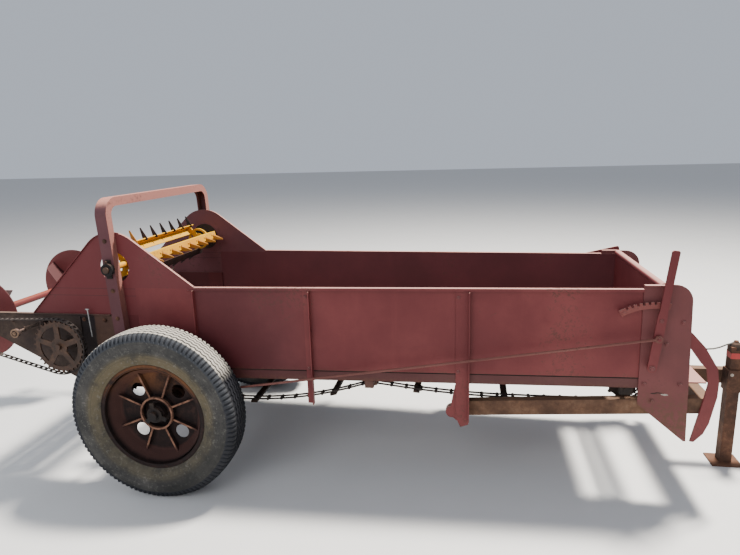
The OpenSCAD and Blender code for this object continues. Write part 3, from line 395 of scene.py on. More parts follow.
def running_face(g, colour, dust, far, dz):
    """The tread between the shoulders: pale and worn above, with painted shade that makes it dark low down and in
    its grooves.
    """
    tread_half = (0.058, 0.066)
    crown, groove = (TYRE_R - 0.0065, TYRE_R - 0.0048), (TYRE_R - 0.0075, TYRE_R - 0.0055)
    across = g.maths("ABSOLUTE", g.maths("SUBTRACT", g.off_middle(), WHEEL_Y))
    tread = g.fall(across, *tread_half)
    worn = g.mix(dust, (0.25, 0.23, 0.2), (0.42, 0.385, 0.335))
    # Painted shade: below the top the tread turns nearly black
    worn = g.mix(g.rise(dz, 0.19, 0.27), (0.006, 0.0065, 0.01), worn)
    colour = g.mix(g.times(tread, g.rise(far, *crown)), colour, worn)
    # Painted shade in the grooves
    return g.mix(g.times(tread, g.fall(far, *groove)), colour, (0.012, 0.012, 0.013))


def worn_rubber(name):
    """Weathered rubber, in rings about the axle."""
    g = Graph(name)
    dust = g.noise(8, 8, 0.72)
    fine = g.noise(70, 8, 0.7)
    far, dx, dz = g.from_line(*AXLE)
    colour = side_wall(g, dust, fine, far, dx, dz)
    colour = shoulder(g, colour, far, dx, dz)
    colour = running_face(g, colour, dust, far, dz)
    return g.done(colour, 0.86, 0.25, fine, 0.0008)


def wheel_iron(name):
    """Cast and pressed wheel: dark rust, orange near the top, worn edges on the ribs and hub ring."""
    dish, rim_seam, rib_end, hub_edge = (0.205, 0.245), (0.2575, 0.2605), (0.18, 0.222), (0.07, 0.075)
    g = Graph(name)
    wide = g.noise(6, 6, 0.65)
    fine = g.noise(26, 10, 0.75)
    pits = g.noise(160, 4, 0.6)
    far, _, dz = g.from_line(*AXLE)
    colour = g.ramp(fine, [(0.3, (0.004, 0.0025, 0.0025)), (0.52, (0.011, 0.005, 0.0045)),
                           (0.76, (0.038, 0.017, 0.012))])
    high = g.times(g.rise(dz, 0.07, 0.2), g.rise(wide, 0.35, 0.55))
    colour = g.mix(g.times(high, 0.8), colour, (0.11, 0.042, 0.015))
    colour = g.mix(g.times(g.between(far, *dish, 0.006), 0.65), colour, (0.05, 0.02, 0.016))
    colour = g.mix(g.between(far, *rim_seam, 0.0008), colour, (0.008, 0.005, 0.005))
    edges = g.times(g.rise(g.off_middle(), WHEEL_Y + 0.0135, WHEEL_Y + 0.0145), g.fall(far, *rib_end))
    edges = g.times(edges, g.rise(far, *hub_edge))
    worn = g.mix(g.rise(fine, 0.35, 0.65), (0.06, 0.026, 0.017), (0.22, 0.11, 0.07))
    colour = g.mix(g.times(edges, 0.9), colour, worn)
    return g.done(colour, 0.85, 0.25, g.mix(0.5, fine, pits), 0.0022)


# The top colours are painted light on faces that look up: a painted highlight, and on the sill painted shade;
# ahead adds a painted highlight on faces that look forward
PAINT = worn_paint("faded_red")
SIDE = worn_paint("side_red", inner=SHADED_RED, foot=(0.566, 0.645), shade_bay=(AXLE_X + 0.545, AXLE_X + 0.885))
SILL = worn_paint("sill_red", (0.056, 0.013, 0.0135), (0.083, 0.027, 0.0255), rust_from=0.6,
                  painted_top=(0.02, 0.01, 0.01), foot=(0.54, 0.6))
TURNED = worn_paint("distributor_red", (0.11, 0.021, 0.02), rust_from=0.58, streak=0.5,
                    painted_top=(0.24, 0.048, 0.024), ends=HALF_REAR, shaft=SPREADER)
ROD = worn_paint("rod_red", (0.1, 0.032, 0.026), (0.15, 0.055, 0.045), painted_top=(0.2, 0.08, 0.06))
CREST = worn_paint("crest_red", pale=(0.115, 0.024, 0.026), inner=(0.082, 0.025, 0.028),
                   seams=((Z, 1.0305, 1.033), (Z, 0.9925, 0.995)))
PLATE = worn_paint("plate_red", (0.092, 0.024, 0.024), (0.135, 0.036, 0.036), foot=(0.4, 0.62), ahead=0.35)
ARCH = worn_paint("arch_red", (0.066, 0.019, 0.023), (0.095, 0.033, 0.038), painted_top=(0.42, 0.18, 0.135),
                  inner=SHADED_RED, ahead=0.45)
NOTCHED = worn_paint("quadrant_red", (0.13, 0.032, 0.028), (0.19, 0.055, 0.047))
COLLAR = worn_paint("bright_red", (0.3, 0.02, 0.02), (0.36, 0.05, 0.045), rust_from=0.6)
YELLOW = worn_paint("old_yellow", (0.44, 0.185, 0.006), (0.5, 0.25, 0.01), rust=(0.17, 0.07, 0.025),
                    rust_from=0.6, streak=0.4, painted_top=(0.53, 0.3, 0.003), ends=HALF_REAR)
# Painted shade: the teeth get a darker, browner yellow than their bars
SHADED_TEETH_YELLOW = worn_paint("ochre_teeth", (0.3, 0.115, 0.014), (0.42, 0.19, 0.025), rust=(0.12, 0.05, 0.02),
                   rust_from=0.56, streak=0.4, painted_top=(0.27, 0.11, 0.012))
DRUM = worn_paint("drum_iron", (0.05, 0.026, 0.016), (0.1, 0.052, 0.025), rust=(0.34, 0.16, 0.03),
                  streak=0.4, painted_top=(0.12, 0.07, 0.035), ends=HALF_REAR)

RUST = old_rust("rust", (0.026, 0.0135, 0.01), (0.075, 0.034, 0.02), (0.17, 0.08, 0.045))
BEAM = old_rust("beam_iron", (0.05, 0.026, 0.017), (0.12, 0.062, 0.036), (0.2, 0.12, 0.075), scale=14)
DARK = old_rust("dark_iron", (0.01, 0.008, 0.008), (0.03, 0.019, 0.014), (0.075, 0.043, 0.028))
TOOTH = old_rust("tooth_iron", (0.018, 0.012, 0.011), (0.042, 0.023, 0.019), (0.085, 0.04, 0.028), scale=30)
CHAIN = old_rust("chain_iron", (0.012, 0.01, 0.01), (0.035, 0.026, 0.023), (0.085, 0.065, 0.055), scale=40)
BRIGHT = old_rust("bright_iron", (0.12, 0.115, 0.11), (0.3, 0.29, 0.28), (0.5, 0.49, 0.47))
BARE = old_rust("bare_iron", (0.2, 0.16, 0.13), (0.4, 0.36, 0.32), (0.6, 0.57, 0.53))
GREY = old_rust("grey_iron", (0.05, 0.048, 0.045), (0.12, 0.115, 0.105), (0.22, 0.21, 0.19))
RING = old_rust("ring_iron", (0.06, 0.038, 0.026), (0.16, 0.1, 0.065), (0.26, 0.17, 0.11))

CASTING = frame_iron("frame_iron")
WHEEL = wheel_iron("wheel_rust")
WOOD = timber("timber")
TYRE = worn_rubber("worn_rubber")

# What each material slot of the record looks like, and the nodes that have a look of their own
LOOKS = {"tyre": TYRE, "wheel_steel": WHEEL, "timber": WOOD, "yellow_paint": YELLOW,
         "dark_iron": DARK, "rusty_iron": RUST, "faded_red_paint": PAINT}
OWN = {"arch": ARCH, "chain_tensioner": CASTING, "distributor": TURNED, "feed_rod": ROD,
       "hitch_frame": BEAM, "main_beater": DRUM, "tongue": BEAM}
for group, look in (("front_plate", PLATE), ("raised_side", CREST), ("rear_frame", CASTING),
                    ("side_panel", SIDE), ("sill", SILL)):
    OWN[group + "_right"] = look
    OWN[group + "_left"] = look

for entry in frame["record"]["subparts"]:
    mesh = NODES[entry["node"]].data
    mesh.materials.clear()
    mesh.materials.append(OWN.get(entry["node"], LOOKS[entry["material_slot"]]))


# Making of pieces

def piece(name, verts, faces, material, body, nodes=(), smooth=False):
    """A mesh in the part's frame that rides on a body and may replace CAD nodes."""
    mesh = bpy.data.meshes.new(name)
    mesh.from_pydata(verts, [], faces)
    shell = bmesh.new()
    shell.from_mesh(mesh)
    bmesh.ops.recalc_face_normals(shell, faces=shell.faces)
    shell.to_mesh(mesh)
    shell.free()
    mesh.materials.append(material)
    if smooth:
        mesh.shade_smooth()
        mesh.set_sharp_from_angle(angle=math.radians(38))
    made = bpy.data.objects.new(name, mesh)
    bpy.context.scene.collection.objects.link(made)
    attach(made, body)
    if nodes:
        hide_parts(*nodes)


def ring_faces(rows, cols):
    """Quads between rows of cols points, kept in one list, closed both along the rows and across them."""
    return [(i * cols + j, i * cols + (j + 1) % cols,
             (i + 1) % rows * cols + (j + 1) % cols, (i + 1) % rows * cols + j)
            for i in range(rows) for j in range(cols)]


def circle(r, count=28, start=0.0):
    return [(r * math.cos(start + 2 * math.pi * i / count), r * math.sin(start + 2 * math.pi * i / count))
            for i in range(count)]


class Shape:
    """Points and faces of one piece, gathered from plates, bars, blocks and bolt heads."""

    def __init__(self):
        self.verts, self.faces = [], []

    def plate(self, loops, place, across, up, depth):
        """Outlines in the axes across and up, the first outside and the rest holes, made deep."""
        place, across, up = Vector(place), Vector(across).normalized(), Vector(up).normalized()
        normal = across.cross(up).normalized()
        flat = [[Vector((a, b, 0)) for a, b in loop] for loop in loops]
        points = [place + across * a + up * b for loop in loops for a, b in loop]
        base, n = len(self.verts), len(points)
        self.verts += [tuple(q) for q in points] + [tuple(q + normal * depth) for q in points]
        for corners in geometry.tessellate_polygon(flat):
            self.faces.append(tuple(base + i for i in corners))
            self.faces.append(tuple(base + n + i for i in reversed(corners)))
        for loop in loops:
            m = len(loop)
            for i in range(m):
                j = (i + 1) % m
                self.faces.append((base + i, base + j, base + n + j, base + n + i))
            base += m

    def bar(self, points, r, sides=12, tip=None):
        """A round bar through points, with flat ends, the last one of radius tip where that is given."""
        points = [Vector(q) for q in points]
        base, last = len(self.verts), len(points) - 1
        side = None
        for k, q in enumerate(points):
            ahead = (points[min(k + 1, last)] - points[max(k - 1, 0)]).normalized()
            if side is None:
                side = ahead.orthogonal().normalized()
            else:
                side = (side - ahead * side.dot(ahead)).normalized()
            up = ahead.cross(side)
            size = tip if tip is not None and k == last else r
            for a, b in circle(size, sides):
                self.verts.append(tuple(q + side * a + up * b))
        for k in range(last):
            for i in range(sides):
                j = (i + 1) % sides
                self.faces.append((base + k * sides + i, base + k * sides + j,
                                   base + (k + 1) * sides + j, base + (k + 1) * sides + i))
        self.faces.append(tuple(base + i for i in range(sides))[::-1])
        self.faces.append(tuple(base + last * sides + i for i in range(sides)))

    def bolt(self, place, normal, size, high, sides=6):
        """A bolt head with a washer under it and a broken edge."""
        place, normal = Vector(place), Vector(normal).normalized()
        self.bar([place - normal * 0.001, place + normal * 0.002], size * 1.35, 14)
        head = [place + normal * rise for rise in (0.0015, high * 0.75, high)]
        self.bar(head, size, sides, size * 0.78)

    def block(self, corners):
        """A block by its eight corners, with the last of three axes changing fastest."""
        base = len(self.verts)
        self.verts += [tuple(corner) for corner in corners]
        for face in ((0, 1, 3, 2), (4, 6, 7, 5), (0, 4, 5, 1), (2, 3, 7, 6), (0, 2, 6, 4), (1, 5, 7, 3)):
            self.faces.append(tuple(base + i for i in face))

    def link_block(self, middle, along, half):
        """A block at middle that lies along a direction (x, z), by its half sizes along, across and up."""
        ux, uz = along
        axes = ((ux, 0, uz), ALONG_Y, (-uz, 0, ux))
        self.block([[middle[k] + sum(sign * size * axis[k] for sign, size, axis in zip(signs, half, axes))
                     for k in range(3)]
                    for signs in ((a, b, c) for a in (-1, 1) for b in (-1, 1) for c in (-1, 1))])

    def made(self, name, material, body, nodes=(), smooth=False):
        piece(name, self.verts, self.faces, material, body, nodes, smooth)


# Tyres: an outline turned about the axle, with zigzag grooves and cuts round the shoulders

# Side wall from the rim to the shoulder: share of the height over the rim, share of the half width
WALL = [(0.0, 0.665), (0.065, 0.668), (0.08, 0.74), (0.1, 0.765), (0.13, 0.8), (0.15, 0.835),
        (0.22, 0.885), (0.3, 0.93), (0.4, 0.97), (0.52, 0.995), (0.56, 0.995), (0.58, 0.985),
        (0.6, 0.995), (0.68, 0.985), (0.76, 0.965), (0.84, 0.93), (0.89, 0.885), (0.93, 0.83),
        (0.955, 0.76), (0.975, 0.69)]
GROOVES = (-0.044, -0.022, 0, 0.022, 0.044)
# Edges of a groove: distance from its middle, share of its depth
GROOVE_EDGES = ((-0.0055, 0), (-0.003, 1), (0.003, 1), (0.0055, 0))
GROOVE_DEPTH = 0.0075
ZIGZAG = (0, 0.0042, 0, -0.0042)
CROWN_HALF, CROWN_DROP = 0.062, 0.0045
CUT_POINTS, CUT_IN, CUT_ACROSS = 5, 0.0045, 0.0035


def tyre_outline():
    """The outline as (radius, distance from the middle, share of the groove's depth, on the tread)."""
    wall = [(RIM_R + high * (TYRE_R - RIM_R), wide * TYRE_HALF) for high, wide in WALL]
    crown = [(groove + edge, deep) for groove in GROOVES for edge, deep in GROOVE_EDGES]
    outline = [(r, -y, 0, False) for r, y in wall]
    outline += [(TYRE_R - CROWN_DROP * (abs(y) / CROWN_HALF) ** 2, y, deep, True) for y, deep in crown]
    outline += [(r, y, 0, False) for r, y in reversed(wall)]
    return outline


def tyre(node, side, body):
    low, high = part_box(node)
    middle = (low[Y] + high[Y]) / 2
    outline = tyre_outline()
    verts = []
    for i in range(TYRE_ROWS):
        a = 2 * math.pi * i / TYRE_ROWS
        for j, (r, y, deep, on_tread) in enumerate(outline):
            from_rim = min(j, len(outline) - 1 - j)
            if on_tread:
                y += ZIGZAG[i % len(ZIGZAG)]
                r -= GROOVE_DEPTH * deep
            elif i % ROWS_PER_CUT == 0 and from_rim >= len(WALL) - CUT_POINTS:
                r -= CUT_IN
                y -= math.copysign(CUT_ACROSS, y)
            verts.append((AXLE_X + r * math.sin(a), middle + side * y, AXLE_Z + r * math.cos(a)))
    faces = ring_faces(TYRE_ROWS, len(outline))
    if side > 0:
        faces = [face[::-1] for face in faces]
    piece(node + "_tread", verts, faces, TYRE, body, (node,))


# Wheels: the dished cone between disc and rim, as radius and distance outward from the wheel's middle
DISH = [(0.2475, 0.058), (0.2475, 0.052), (0.242, 0.040), (0.232, 0.026), (0.222, 0.012), (0.214, -0.002),
        (0.206, -0.0115), (0.203, -0.0115), (0.211, -0.005), (0.228, 0.014), (0.2425, 0.034), (0.2465, 0.05)]
DISH_ROWS = 96


def wheel_dish(name, side, body):
    verts = []
    for i in range(DISH_ROWS):
        a = 2 * math.pi * i / DISH_ROWS
        verts += [(AXLE_X + r * math.sin(a), side * (WHEEL_Y + out), AXLE_Z + r * math.cos(a))
                  for r, out in DISH]
    piece(name, verts, ring_faces(DISH_ROWS, len(DISH)), WHEEL, body, smooth=True)


# Drive chains: hook links along a line round two sprockets

CHAIN_PITCH = 0.0293
BEATER_CHAIN_Y = 0.622
# How far the line of a chain lies outside the tips of its sprockets
CHAIN_RISE = 0.0035
# Node, shaft and tip radius of one sprocket, shaft and tip radius of the other, place along y, width
DRIVES = (("chain_right", MAIN, 0.145, SPREADER, 0.046, -0.640, 0.026),
          ("chain_axle", AXLE, 0.138, MAIN, 0.072, 0.590, 0.014),
          ("chain_beaters", MAIN, 0.072, UPPER, 0.072, BEATER_CHAIN_Y, 0.014))


class Belt:
    """A closed line round two circles, measured along its length."""

    def __init__(self, centre1, r1, centre2, r2):
        dx, dz = centre2[0] - centre1[0], centre2[1] - centre1[1]
        gap = math.hypot(dx, dz)
        along = math.atan2(dz, dx)
        opening = math.acos((r1 - r2) / gap)
        self.straight = math.sqrt(gap ** 2 - (r1 - r2) ** 2)
        self.arcs = ((centre1, r1, along + opening, 2 * math.pi - 2 * opening),
                     (centre2, r2, along - opening, 2 * opening))
        self.length = sum(r * turn for _, r, _, turn in self.arcs) + 2 * self.straight

    def at(self, s):
        """The point (x, z) at a length s from the start."""
        s %= self.length
        for (x, z), r, start, turn in self.arcs:
            if s <= r * turn:
                a = start + s / r
                return x + r * math.cos(a), z + r * math.sin(a)
            s -= r * turn
            a = start + turn
            if s <= self.straight:
                return x + r * math.cos(a) - s * math.sin(a), z + r * math.sin(a) + s * math.cos(a)
            s -= self.straight
        # Rounding can leave a hair over, and then the line is back at its start
        return self.at(0)


def link_between(a, b):
    """Middle, length and direction (x, z) of the link from joint a to joint b."""
    size = math.dist(a, b)
    return ((a[0] + b[0]) / 2, (a[1] + b[1]) / 2), size, ((b[0] - a[0]) / size, (b[1] - a[1]) / size)


def drive_chain(node, centre1, tip1, centre2, tip2, y, width):
    """Hook links: two side bars, and a cross bar at each joint."""
    belt = Belt(centre1, tip1 + CHAIN_RISE, centre2, tip2 + CHAIN_RISE)
    count = round(belt.length / CHAIN_PITCH)
    step = belt.length / count
    bar_half, deep, gap = 0.0015, 0.003, 0.001
    # Cross bars: place from the link's middle as a share of its length, half thickness
    cross_bars = ((-0.5, 0.0035), (0.32, 0.0022))
    links = Shape()
    for i in range(count):
        (x, z), size, (ux, uz) = link_between(belt.at(i * step), belt.at((i + 1) * step))
        for side in (-1, 1):
            links.link_block((x, y + side * (width / 2 - bar_half), z), (ux, uz),
                             (size / 2 - gap, bar_half, deep))
        for share, half in cross_bars:
            links.link_block((x + share * size * ux, y, z + share * size * uz), (ux, uz),
                             (half, width / 2 - gap / 2, deep))
    links.made(node + "_links", CHAIN, "frame", (node,))


# Apron chains: open links with a round knuckle at each joint, along the run and its slack return

APRON_Y = 0.355
APRON_PITCH = 0.078
APRON_SHAFT_Z = 0.546
REAR_SHAFT, FRONT_SHAFT = -0.270, 2.280
# Places from the axle and heights where the return lies level or rests on its carrier
RETURN_KNOTS = [(0.0, 0.378), (0.330, 0.378), (1.018, 0.502), (1.066, 0.502), (1.750, 0.454)]


def slack_height(x, knots):
    """Height of the slack return at x: between two knots it curves up from the lower one."""
    for (x0, z0), (x1, z1) in zip(knots, knots[1:]):
        if x <= x1:
            low_x = x0 if z0 < z1 else x1
            return min(z0, z1) + abs(z1 - z0) * ((x - low_x) / (x1 - x0)) ** 2
    return knots[-1][1]


def apron_line():
    """The apron's closed line (x, z): the run forward, round the front shaft, back and round the rear."""
    low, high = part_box("apron_run")
    run_z = (low[Z] + high[Z]) / 2
    rear, front = AXLE_X + REAR_SHAFT, AXLE_X + FRONT_SHAFT
    turn_r = run_z - APRON_SHAFT_Z
    low_z = APRON_SHAFT_Z - turn_r
    knots = [(REAR_SHAFT, low_z)] + RETURN_KNOTS + [(FRONT_SHAFT, low_z)]
    run_steps, turn_steps, back_steps = 40, 8, 60
    turns = [math.pi * i / turn_steps for i in range(1, turn_steps)]
    back = [front - (front - rear) * i / back_steps for i in range(back_steps + 1)]
    line = [(rear + (front - rear) * i / run_steps, run_z) for i in range(run_steps + 1)]
    line += [(front + turn_r * math.sin(a), APRON_SHAFT_Z + turn_r * math.cos(a)) for a in turns]
    line += [(x, slack_height(x - AXLE_X, knots)) for x in back]
    line += [(rear - turn_r * math.sin(a), APRON_SHAFT_Z - turn_r * math.cos(a)) for a in turns]
    return line


def equal_steps(line, pitch):
    """Points along a closed line in equal steps of about one pitch."""
    steps = [math.dist(line[i], line[(i + 1) % len(line)]) for i in range(len(line))]
    count = round(sum(steps) / pitch)
    pitch = sum(steps) / count
    points, gone, k = [], 0.0, 0
    for i in range(count):
        while gone + steps[k] < i * pitch:
            gone += steps[k]
            k += 1
        share = (i * pitch - gone) / steps[k]
        a, b = line[k], line[(k + 1) % len(line)]
        points.append((a[0] + share * (b[0] - a[0]), a[1] + share * (b[1] - a[1])))
    return points


def apron_links():
    joints = equal_steps(apron_line(), APRON_PITCH)
    bar_out, bar_half, bar_deep, gap = 0.0165, 0.0025, 0.0042, 0.003
    knuckle_half, knuckle_r = 0.02, 0.0085
    links = Shape()
    for y in (-APRON_Y, APRON_Y):
        for i, (x0, z0) in enumerate(joints):
            (x, z), size, along = link_between(joints[i], joints[(i + 1) % len(joints)])
            for side in (-1, 1):
                links.link_block((x, y + side * bar_out, z), along, (size / 2 - gap, bar_half, bar_deep))
            links.bar([(x0, y - knuckle_half, z0), (x0, y + knuckle_half, z0)], knuckle_r, 8)
    links.made("apron_links", CHAIN, "frame", ("apron_run", "apron_return"))


# Upper beater: shaft, spiders, angle bars and teeth folded along their middle

BEATER_HALF = 0.470
SHAFT_ENDS, SHAFT_R = (-0.609, 0.642), 0.016
SPIDERS = (0.040 - BEATER_HALF, BEATER_HALF - 0.052)
BAR_R, BAR_LEG, BAR_THICK = 0.104, 0.044, 0.005
BARS = [math.radians(13 + 120 * i) for i in range(3)]
# Painted shade: the third bar, and the teeth of the second from the fourth on, are dark iron in place of paint
SHADED_BAR, HALF_SHADED_BAR, SHADED_FROM = 2, 1, 3
TEETH = [-0.456 + 0.110 * k for k in range(9)]
TOOTH_OUTLINE = [(-0.006, 0), (0.068, 0), (0.070, 0.003), (0.004, 0.027), (-0.006, 0.027)]
TOOTH_LEAN = math.radians(31)
# The upper beater's sprocket: its teeth, and the outline of one as shares of a pitch and radii
SPROCKET_TEETH, SPROCKET_HALF = 14, 0.004
SPROCKET_TOOTH = ((-0.32, 0.061), (-0.14, 0.0715), (0.14, 0.0715), (0.32, 0.061))


def spoke(angle):
    """The outward direction at an angle in the upright plane, and the one across it."""
    return Vector((math.cos(angle), 0, math.sin(angle))), Vector((-math.sin(angle), 0, math.cos(angle)))


def spider(shape, y):
    """A hub, an arm to each bar and a ring that ties them."""
    x, z = UPPER
    hub_r, bore_r, ring_r, ring_wide = 0.034, 0.014, 0.66 * BAR_R, 0.012
    arm_end, root_half, end_half = BAR_R - 0.002, 0.017, 0.012
    arm = [(0.0, -root_half), (arm_end, -end_half), (arm_end, end_half), (0.0, root_half)]
    for angle in BARS:
        shape.plate([arm], (x, y + 0.011, z), *spoke(angle), 0.010)
    shape.plate([circle(hub_r, 20), circle(bore_r, 12)], (x, y + 0.012, z), *UPRIGHT, 0.012)
    shape.plate([circle(ring_r, 32), circle(ring_r - ring_wide, 32)], (x, y + 0.0115, z), *UPRIGHT, 0.011)


def angle_bar(shape, angle):
    half, edge = BAR_LEG / 2, 0.002
    section = [(BAR_R - BAR_THICK, -half), (BAR_R, -half), (BAR_R, half - edge), (BAR_R - edge, half),
               (BAR_R - BAR_LEG, half), (BAR_R - BAR_LEG, half - BAR_THICK),
               (BAR_R - BAR_THICK, half - BAR_THICK)]
    shape.plate([section], (UPPER[0], BEATER_HALF, UPPER[1]), *spoke(angle), 2 * BEATER_HALF)


def folded_tooth(shape, y, angle):
    """A tooth of two leaves, one across the shaft and one along it."""
    root_in, root_side, fold, thick = 0.003, 0.009, 0.009, 0.0035
    out, side = spoke(angle)
    ahead = out * math.cos(TOOTH_LEAN) - side * math.sin(TOOTH_LEAN)
    up = out * math.sin(TOOTH_LEAN) + side * math.cos(TOOTH_LEAN)
    root = Vector((UPPER[0], y, UPPER[1])) + out * (BAR_R - root_in) + side * (root_side - BAR_LEG / 2)
    for across in (-up, Vector(ALONG_Y)):
        shape.plate([TOOTH_OUTLINE], root + up * fold, ahead, across, thick)


def upper_beater():
    x, z = UPPER
    rivet_out, rivet_side, hub_half, hub_r = 0.012, 0.002, 0.012, 0.026
    painted, bare, teeth = Shape(), Shape(), Shape()
    painted.bar([(x, y, z) for y in SHAFT_ENDS], SHAFT_R, 20)
    for y in SPIDERS:
        spider(painted, y)
    for i, angle in enumerate(BARS):
        bar = bare if i == SHADED_BAR else painted
        out, side = spoke(angle)
        angle_bar(bar, angle)
        for k, y in enumerate(TEETH):
            # Painted shade: these teeth go to the dark iron piece
            worn = i == SHADED_BAR or (i == HALF_SHADED_BAR and k >= SHADED_FROM)
            folded_tooth(bare if worn else teeth, y, angle)
            for off in (-rivet_out, rivet_out):
                seat = Vector((x, y + off, z)) + out * BAR_R + side * rivet_side
                bar.bolt(seat, out, size=0.005, high=0.004)
    rim = []
    for i in range(SPROCKET_TEETH):
        for share, r in SPROCKET_TOOTH:
            a = 2 * math.pi * (i + share) / SPROCKET_TEETH
            rim.append((r * math.cos(a), r * math.sin(a)))
    painted.plate([rim], (x, BEATER_CHAIN_Y + SPROCKET_HALF, z), *UPRIGHT, 2 * SPROCKET_HALF)
    painted.bar([(x, BEATER_CHAIN_Y - hub_half, z), (x, BEATER_CHAIN_Y + hub_half, z)], hub_r, 20)
    painted.made("upper_beater_drum", YELLOW, "beater_upper", ("upper_beater",))
    bare.made("upper_beater_drum_spikes", TOOTH, "beater_upper")
    teeth.made("upper_beater_drum_teeth", SHADED_TEETH_YELLOW, "beater_upper")


# Bolts, as (distance from the bend or place from the axle, height)

PLATE_BOLTS = ((2.336, 0.888), (2.272, 0.784), (2.187, 0.584), (2.345, 0.585), (2.226, 0.500))
STAKES, STAKE_RIVETS = (0.571, 1.319), (1.000, 0.625)
FRAME_BOLTS = ((-0.470, 0.865), (-0.353, 0.862), (-0.353, 0.560), (-1.02, 0.850), (-0.90, 0.850))
ARCH_BOLTS = (1.287, 1.031, 0.884)
ARCH_LEAN = math.radians(2.5)


def bolts():
    # The faces that the heads sit on: off the side of the box, and from the middle plane
    plate_off, stake_off, frame_y, arch_y, bearing_y = 0.006, 0.005, 0.5405, 0.575, 0.5985
    bearing_z = UPPER[1] + 0.039
    heads, plate_heads = Shape(), Shape()
    for side in (-1, 1):
        outward = (0, side, 0)
        for d, z in PLATE_BOLTS:
            plate_heads.bolt(*on_side(d, plate_off, z, side), size=0.009, high=0.007)
        for d in STAKES:
            for z in STAKE_RIVETS:
                plate_heads.bolt(*on_side(d, stake_off, z, side), size=0.007, high=0.005, sides=10)
        for x, z in FRAME_BOLTS:
            heads.bolt((AXLE_X + x, side * frame_y, z), outward, size=0.008, high=0.006)
        for z in ARCH_BOLTS:
            x = UPPER[0] - (z - UPPER[1]) * math.tan(ARCH_LEAN)
            heads.bolt((x, side * arch_y, z), outward, size=0.0085, high=0.006)
        heads.bolt((UPPER[0], side * bearing_y, bearing_z), outward, size=0.006, high=0.004)
    heads.made("rivets", RUST, "frame")
    plate_heads.made("plate_bolts", PLATE, "frame")


# The feed lever's pivot: its distance along the right side from the bend, and its height
LEVER_X, LEVER_Y, LEVER_Z = JOINTS["feed_lever_swing"]
LEVER_D = (LEVER_X - BEND_X) * math.cos(TAPER) + (LEVER_Y + HALF_REAR) * math.sin(TAPER)


def lever_bolts():
    """The feed lever's pivot bolt, and a rivet further up."""
    off, rivet_d, rivet_z = 0.0445, LEVER_D + 0.025, LEVER_Z + 0.228
    heads = Shape()
    heads.bolt(*on_side(LEVER_D, off, LEVER_Z), size=0.011, high=0.008)
    heads.bolt(*on_side(rivet_d, off, rivet_z), size=0.007, high=0.004, sides=10)
    heads.made("lever_bolts", PLATE, "lever_feed")


def oil_rod():
    """A bright rod with a cross handle, hung on the right rear frame."""
    x, y, top_z, bend_z, foot_z = AXLE_X - 0.431, -0.5575, 0.925, 0.905, 0.775
    rod_r, handle_r = 0.0032, 0.003
    rod = Shape()
    rod.bar([(x, y, top_z), (x + 0.001, y, bend_z), (x + 0.008, y, foot_z)], rod_r, 8)
    rod.bar([(x - 0.011, y, top_z), (x + 0.009, y, top_z)], handle_r, 8)
    rod.made("oil_rod", BRIGHT, "frame", smooth=True)


def jack_collar():
    low, high, half = 0.594, 0.624, 0.0296
    collar = Shape()
    collar.plate([[(-half, -half), (half, -half), (half, half), (-half, half)]], (JACK_X, JACK_Y, low),
                 (1, 0, 0), ALONG_Y, high - low)
    collar.made("jack_collar", COLLAR, "jack")


def jack_cap():
    """A round cap in four steps: lower and upper height, lower and upper radius."""
    steps = ((0.640, 0.657, 0.0305, 0.030), (0.657, 0.668, 0.030, 0.024), (0.668, 0.677, 0.024, 0.013),
             (0.677, 0.6835, 0.013, 0.004))
    cap = Shape()
    for low, high, r, top_r in steps:
        cap.bar([(JACK_X, JACK_Y, low), (JACK_X, JACK_Y, high)], r, 20, top_r)
    cap.made("jack_cap", DARK, "jack")


def jack_handle():
    """A grey rod that leans rearward from the cap: distance behind the post, height."""
    line = ((0.011, 0.672), (0.022, 0.669), (0.045, 0.661), (0.075, 0.646), (0.105, 0.637), (0.14, 0.634))
    handle = Shape()
    handle.bar([(JACK_X - back, JACK_Y, z) for back, z in line], 0.0045, 10)
    handle.made("jack_handle", GREY, "jack", smooth=True)


def worn_spots():
    """Bare flakes on the jack's post and the right front plate, and dark scratches low on that plate."""
    # Distance along the side from the bend, height, radius
    flakes = ((2.283, 0.533, 0.008), (2.272, 0.534, 0.005), (2.292, 0.532, 0.004))
    scratches = ((2.232, 0.538, 0.010), (2.250, 0.542, 0.008), (2.262, 0.540, 0.006))
    bare, dark = Shape(), Shape()
    bare.plate([circle(0.009, 9)], (JACK_X - 0.018, JACK_Y - 0.0363, 0.508), *UPRIGHT, 0.0006)
    for shape, spots, long, high, count in ((bare, flakes, 1.6, 0.6, 8), (dark, scratches, 1.5, 0.28, 7)):
        for d, z, r in spots:
            place, normal = on_side(d, 0.0064, z)
            outline = [(long * a, high * b) for a, b in circle(r, count)]
            shape.plate([outline], place, (normal[Y], -normal[X], 0), (0, 0, 1), -0.0005)
    bare.made("bare_spots", BARE, "frame")
    dark.made("scratches", DARK, "frame")


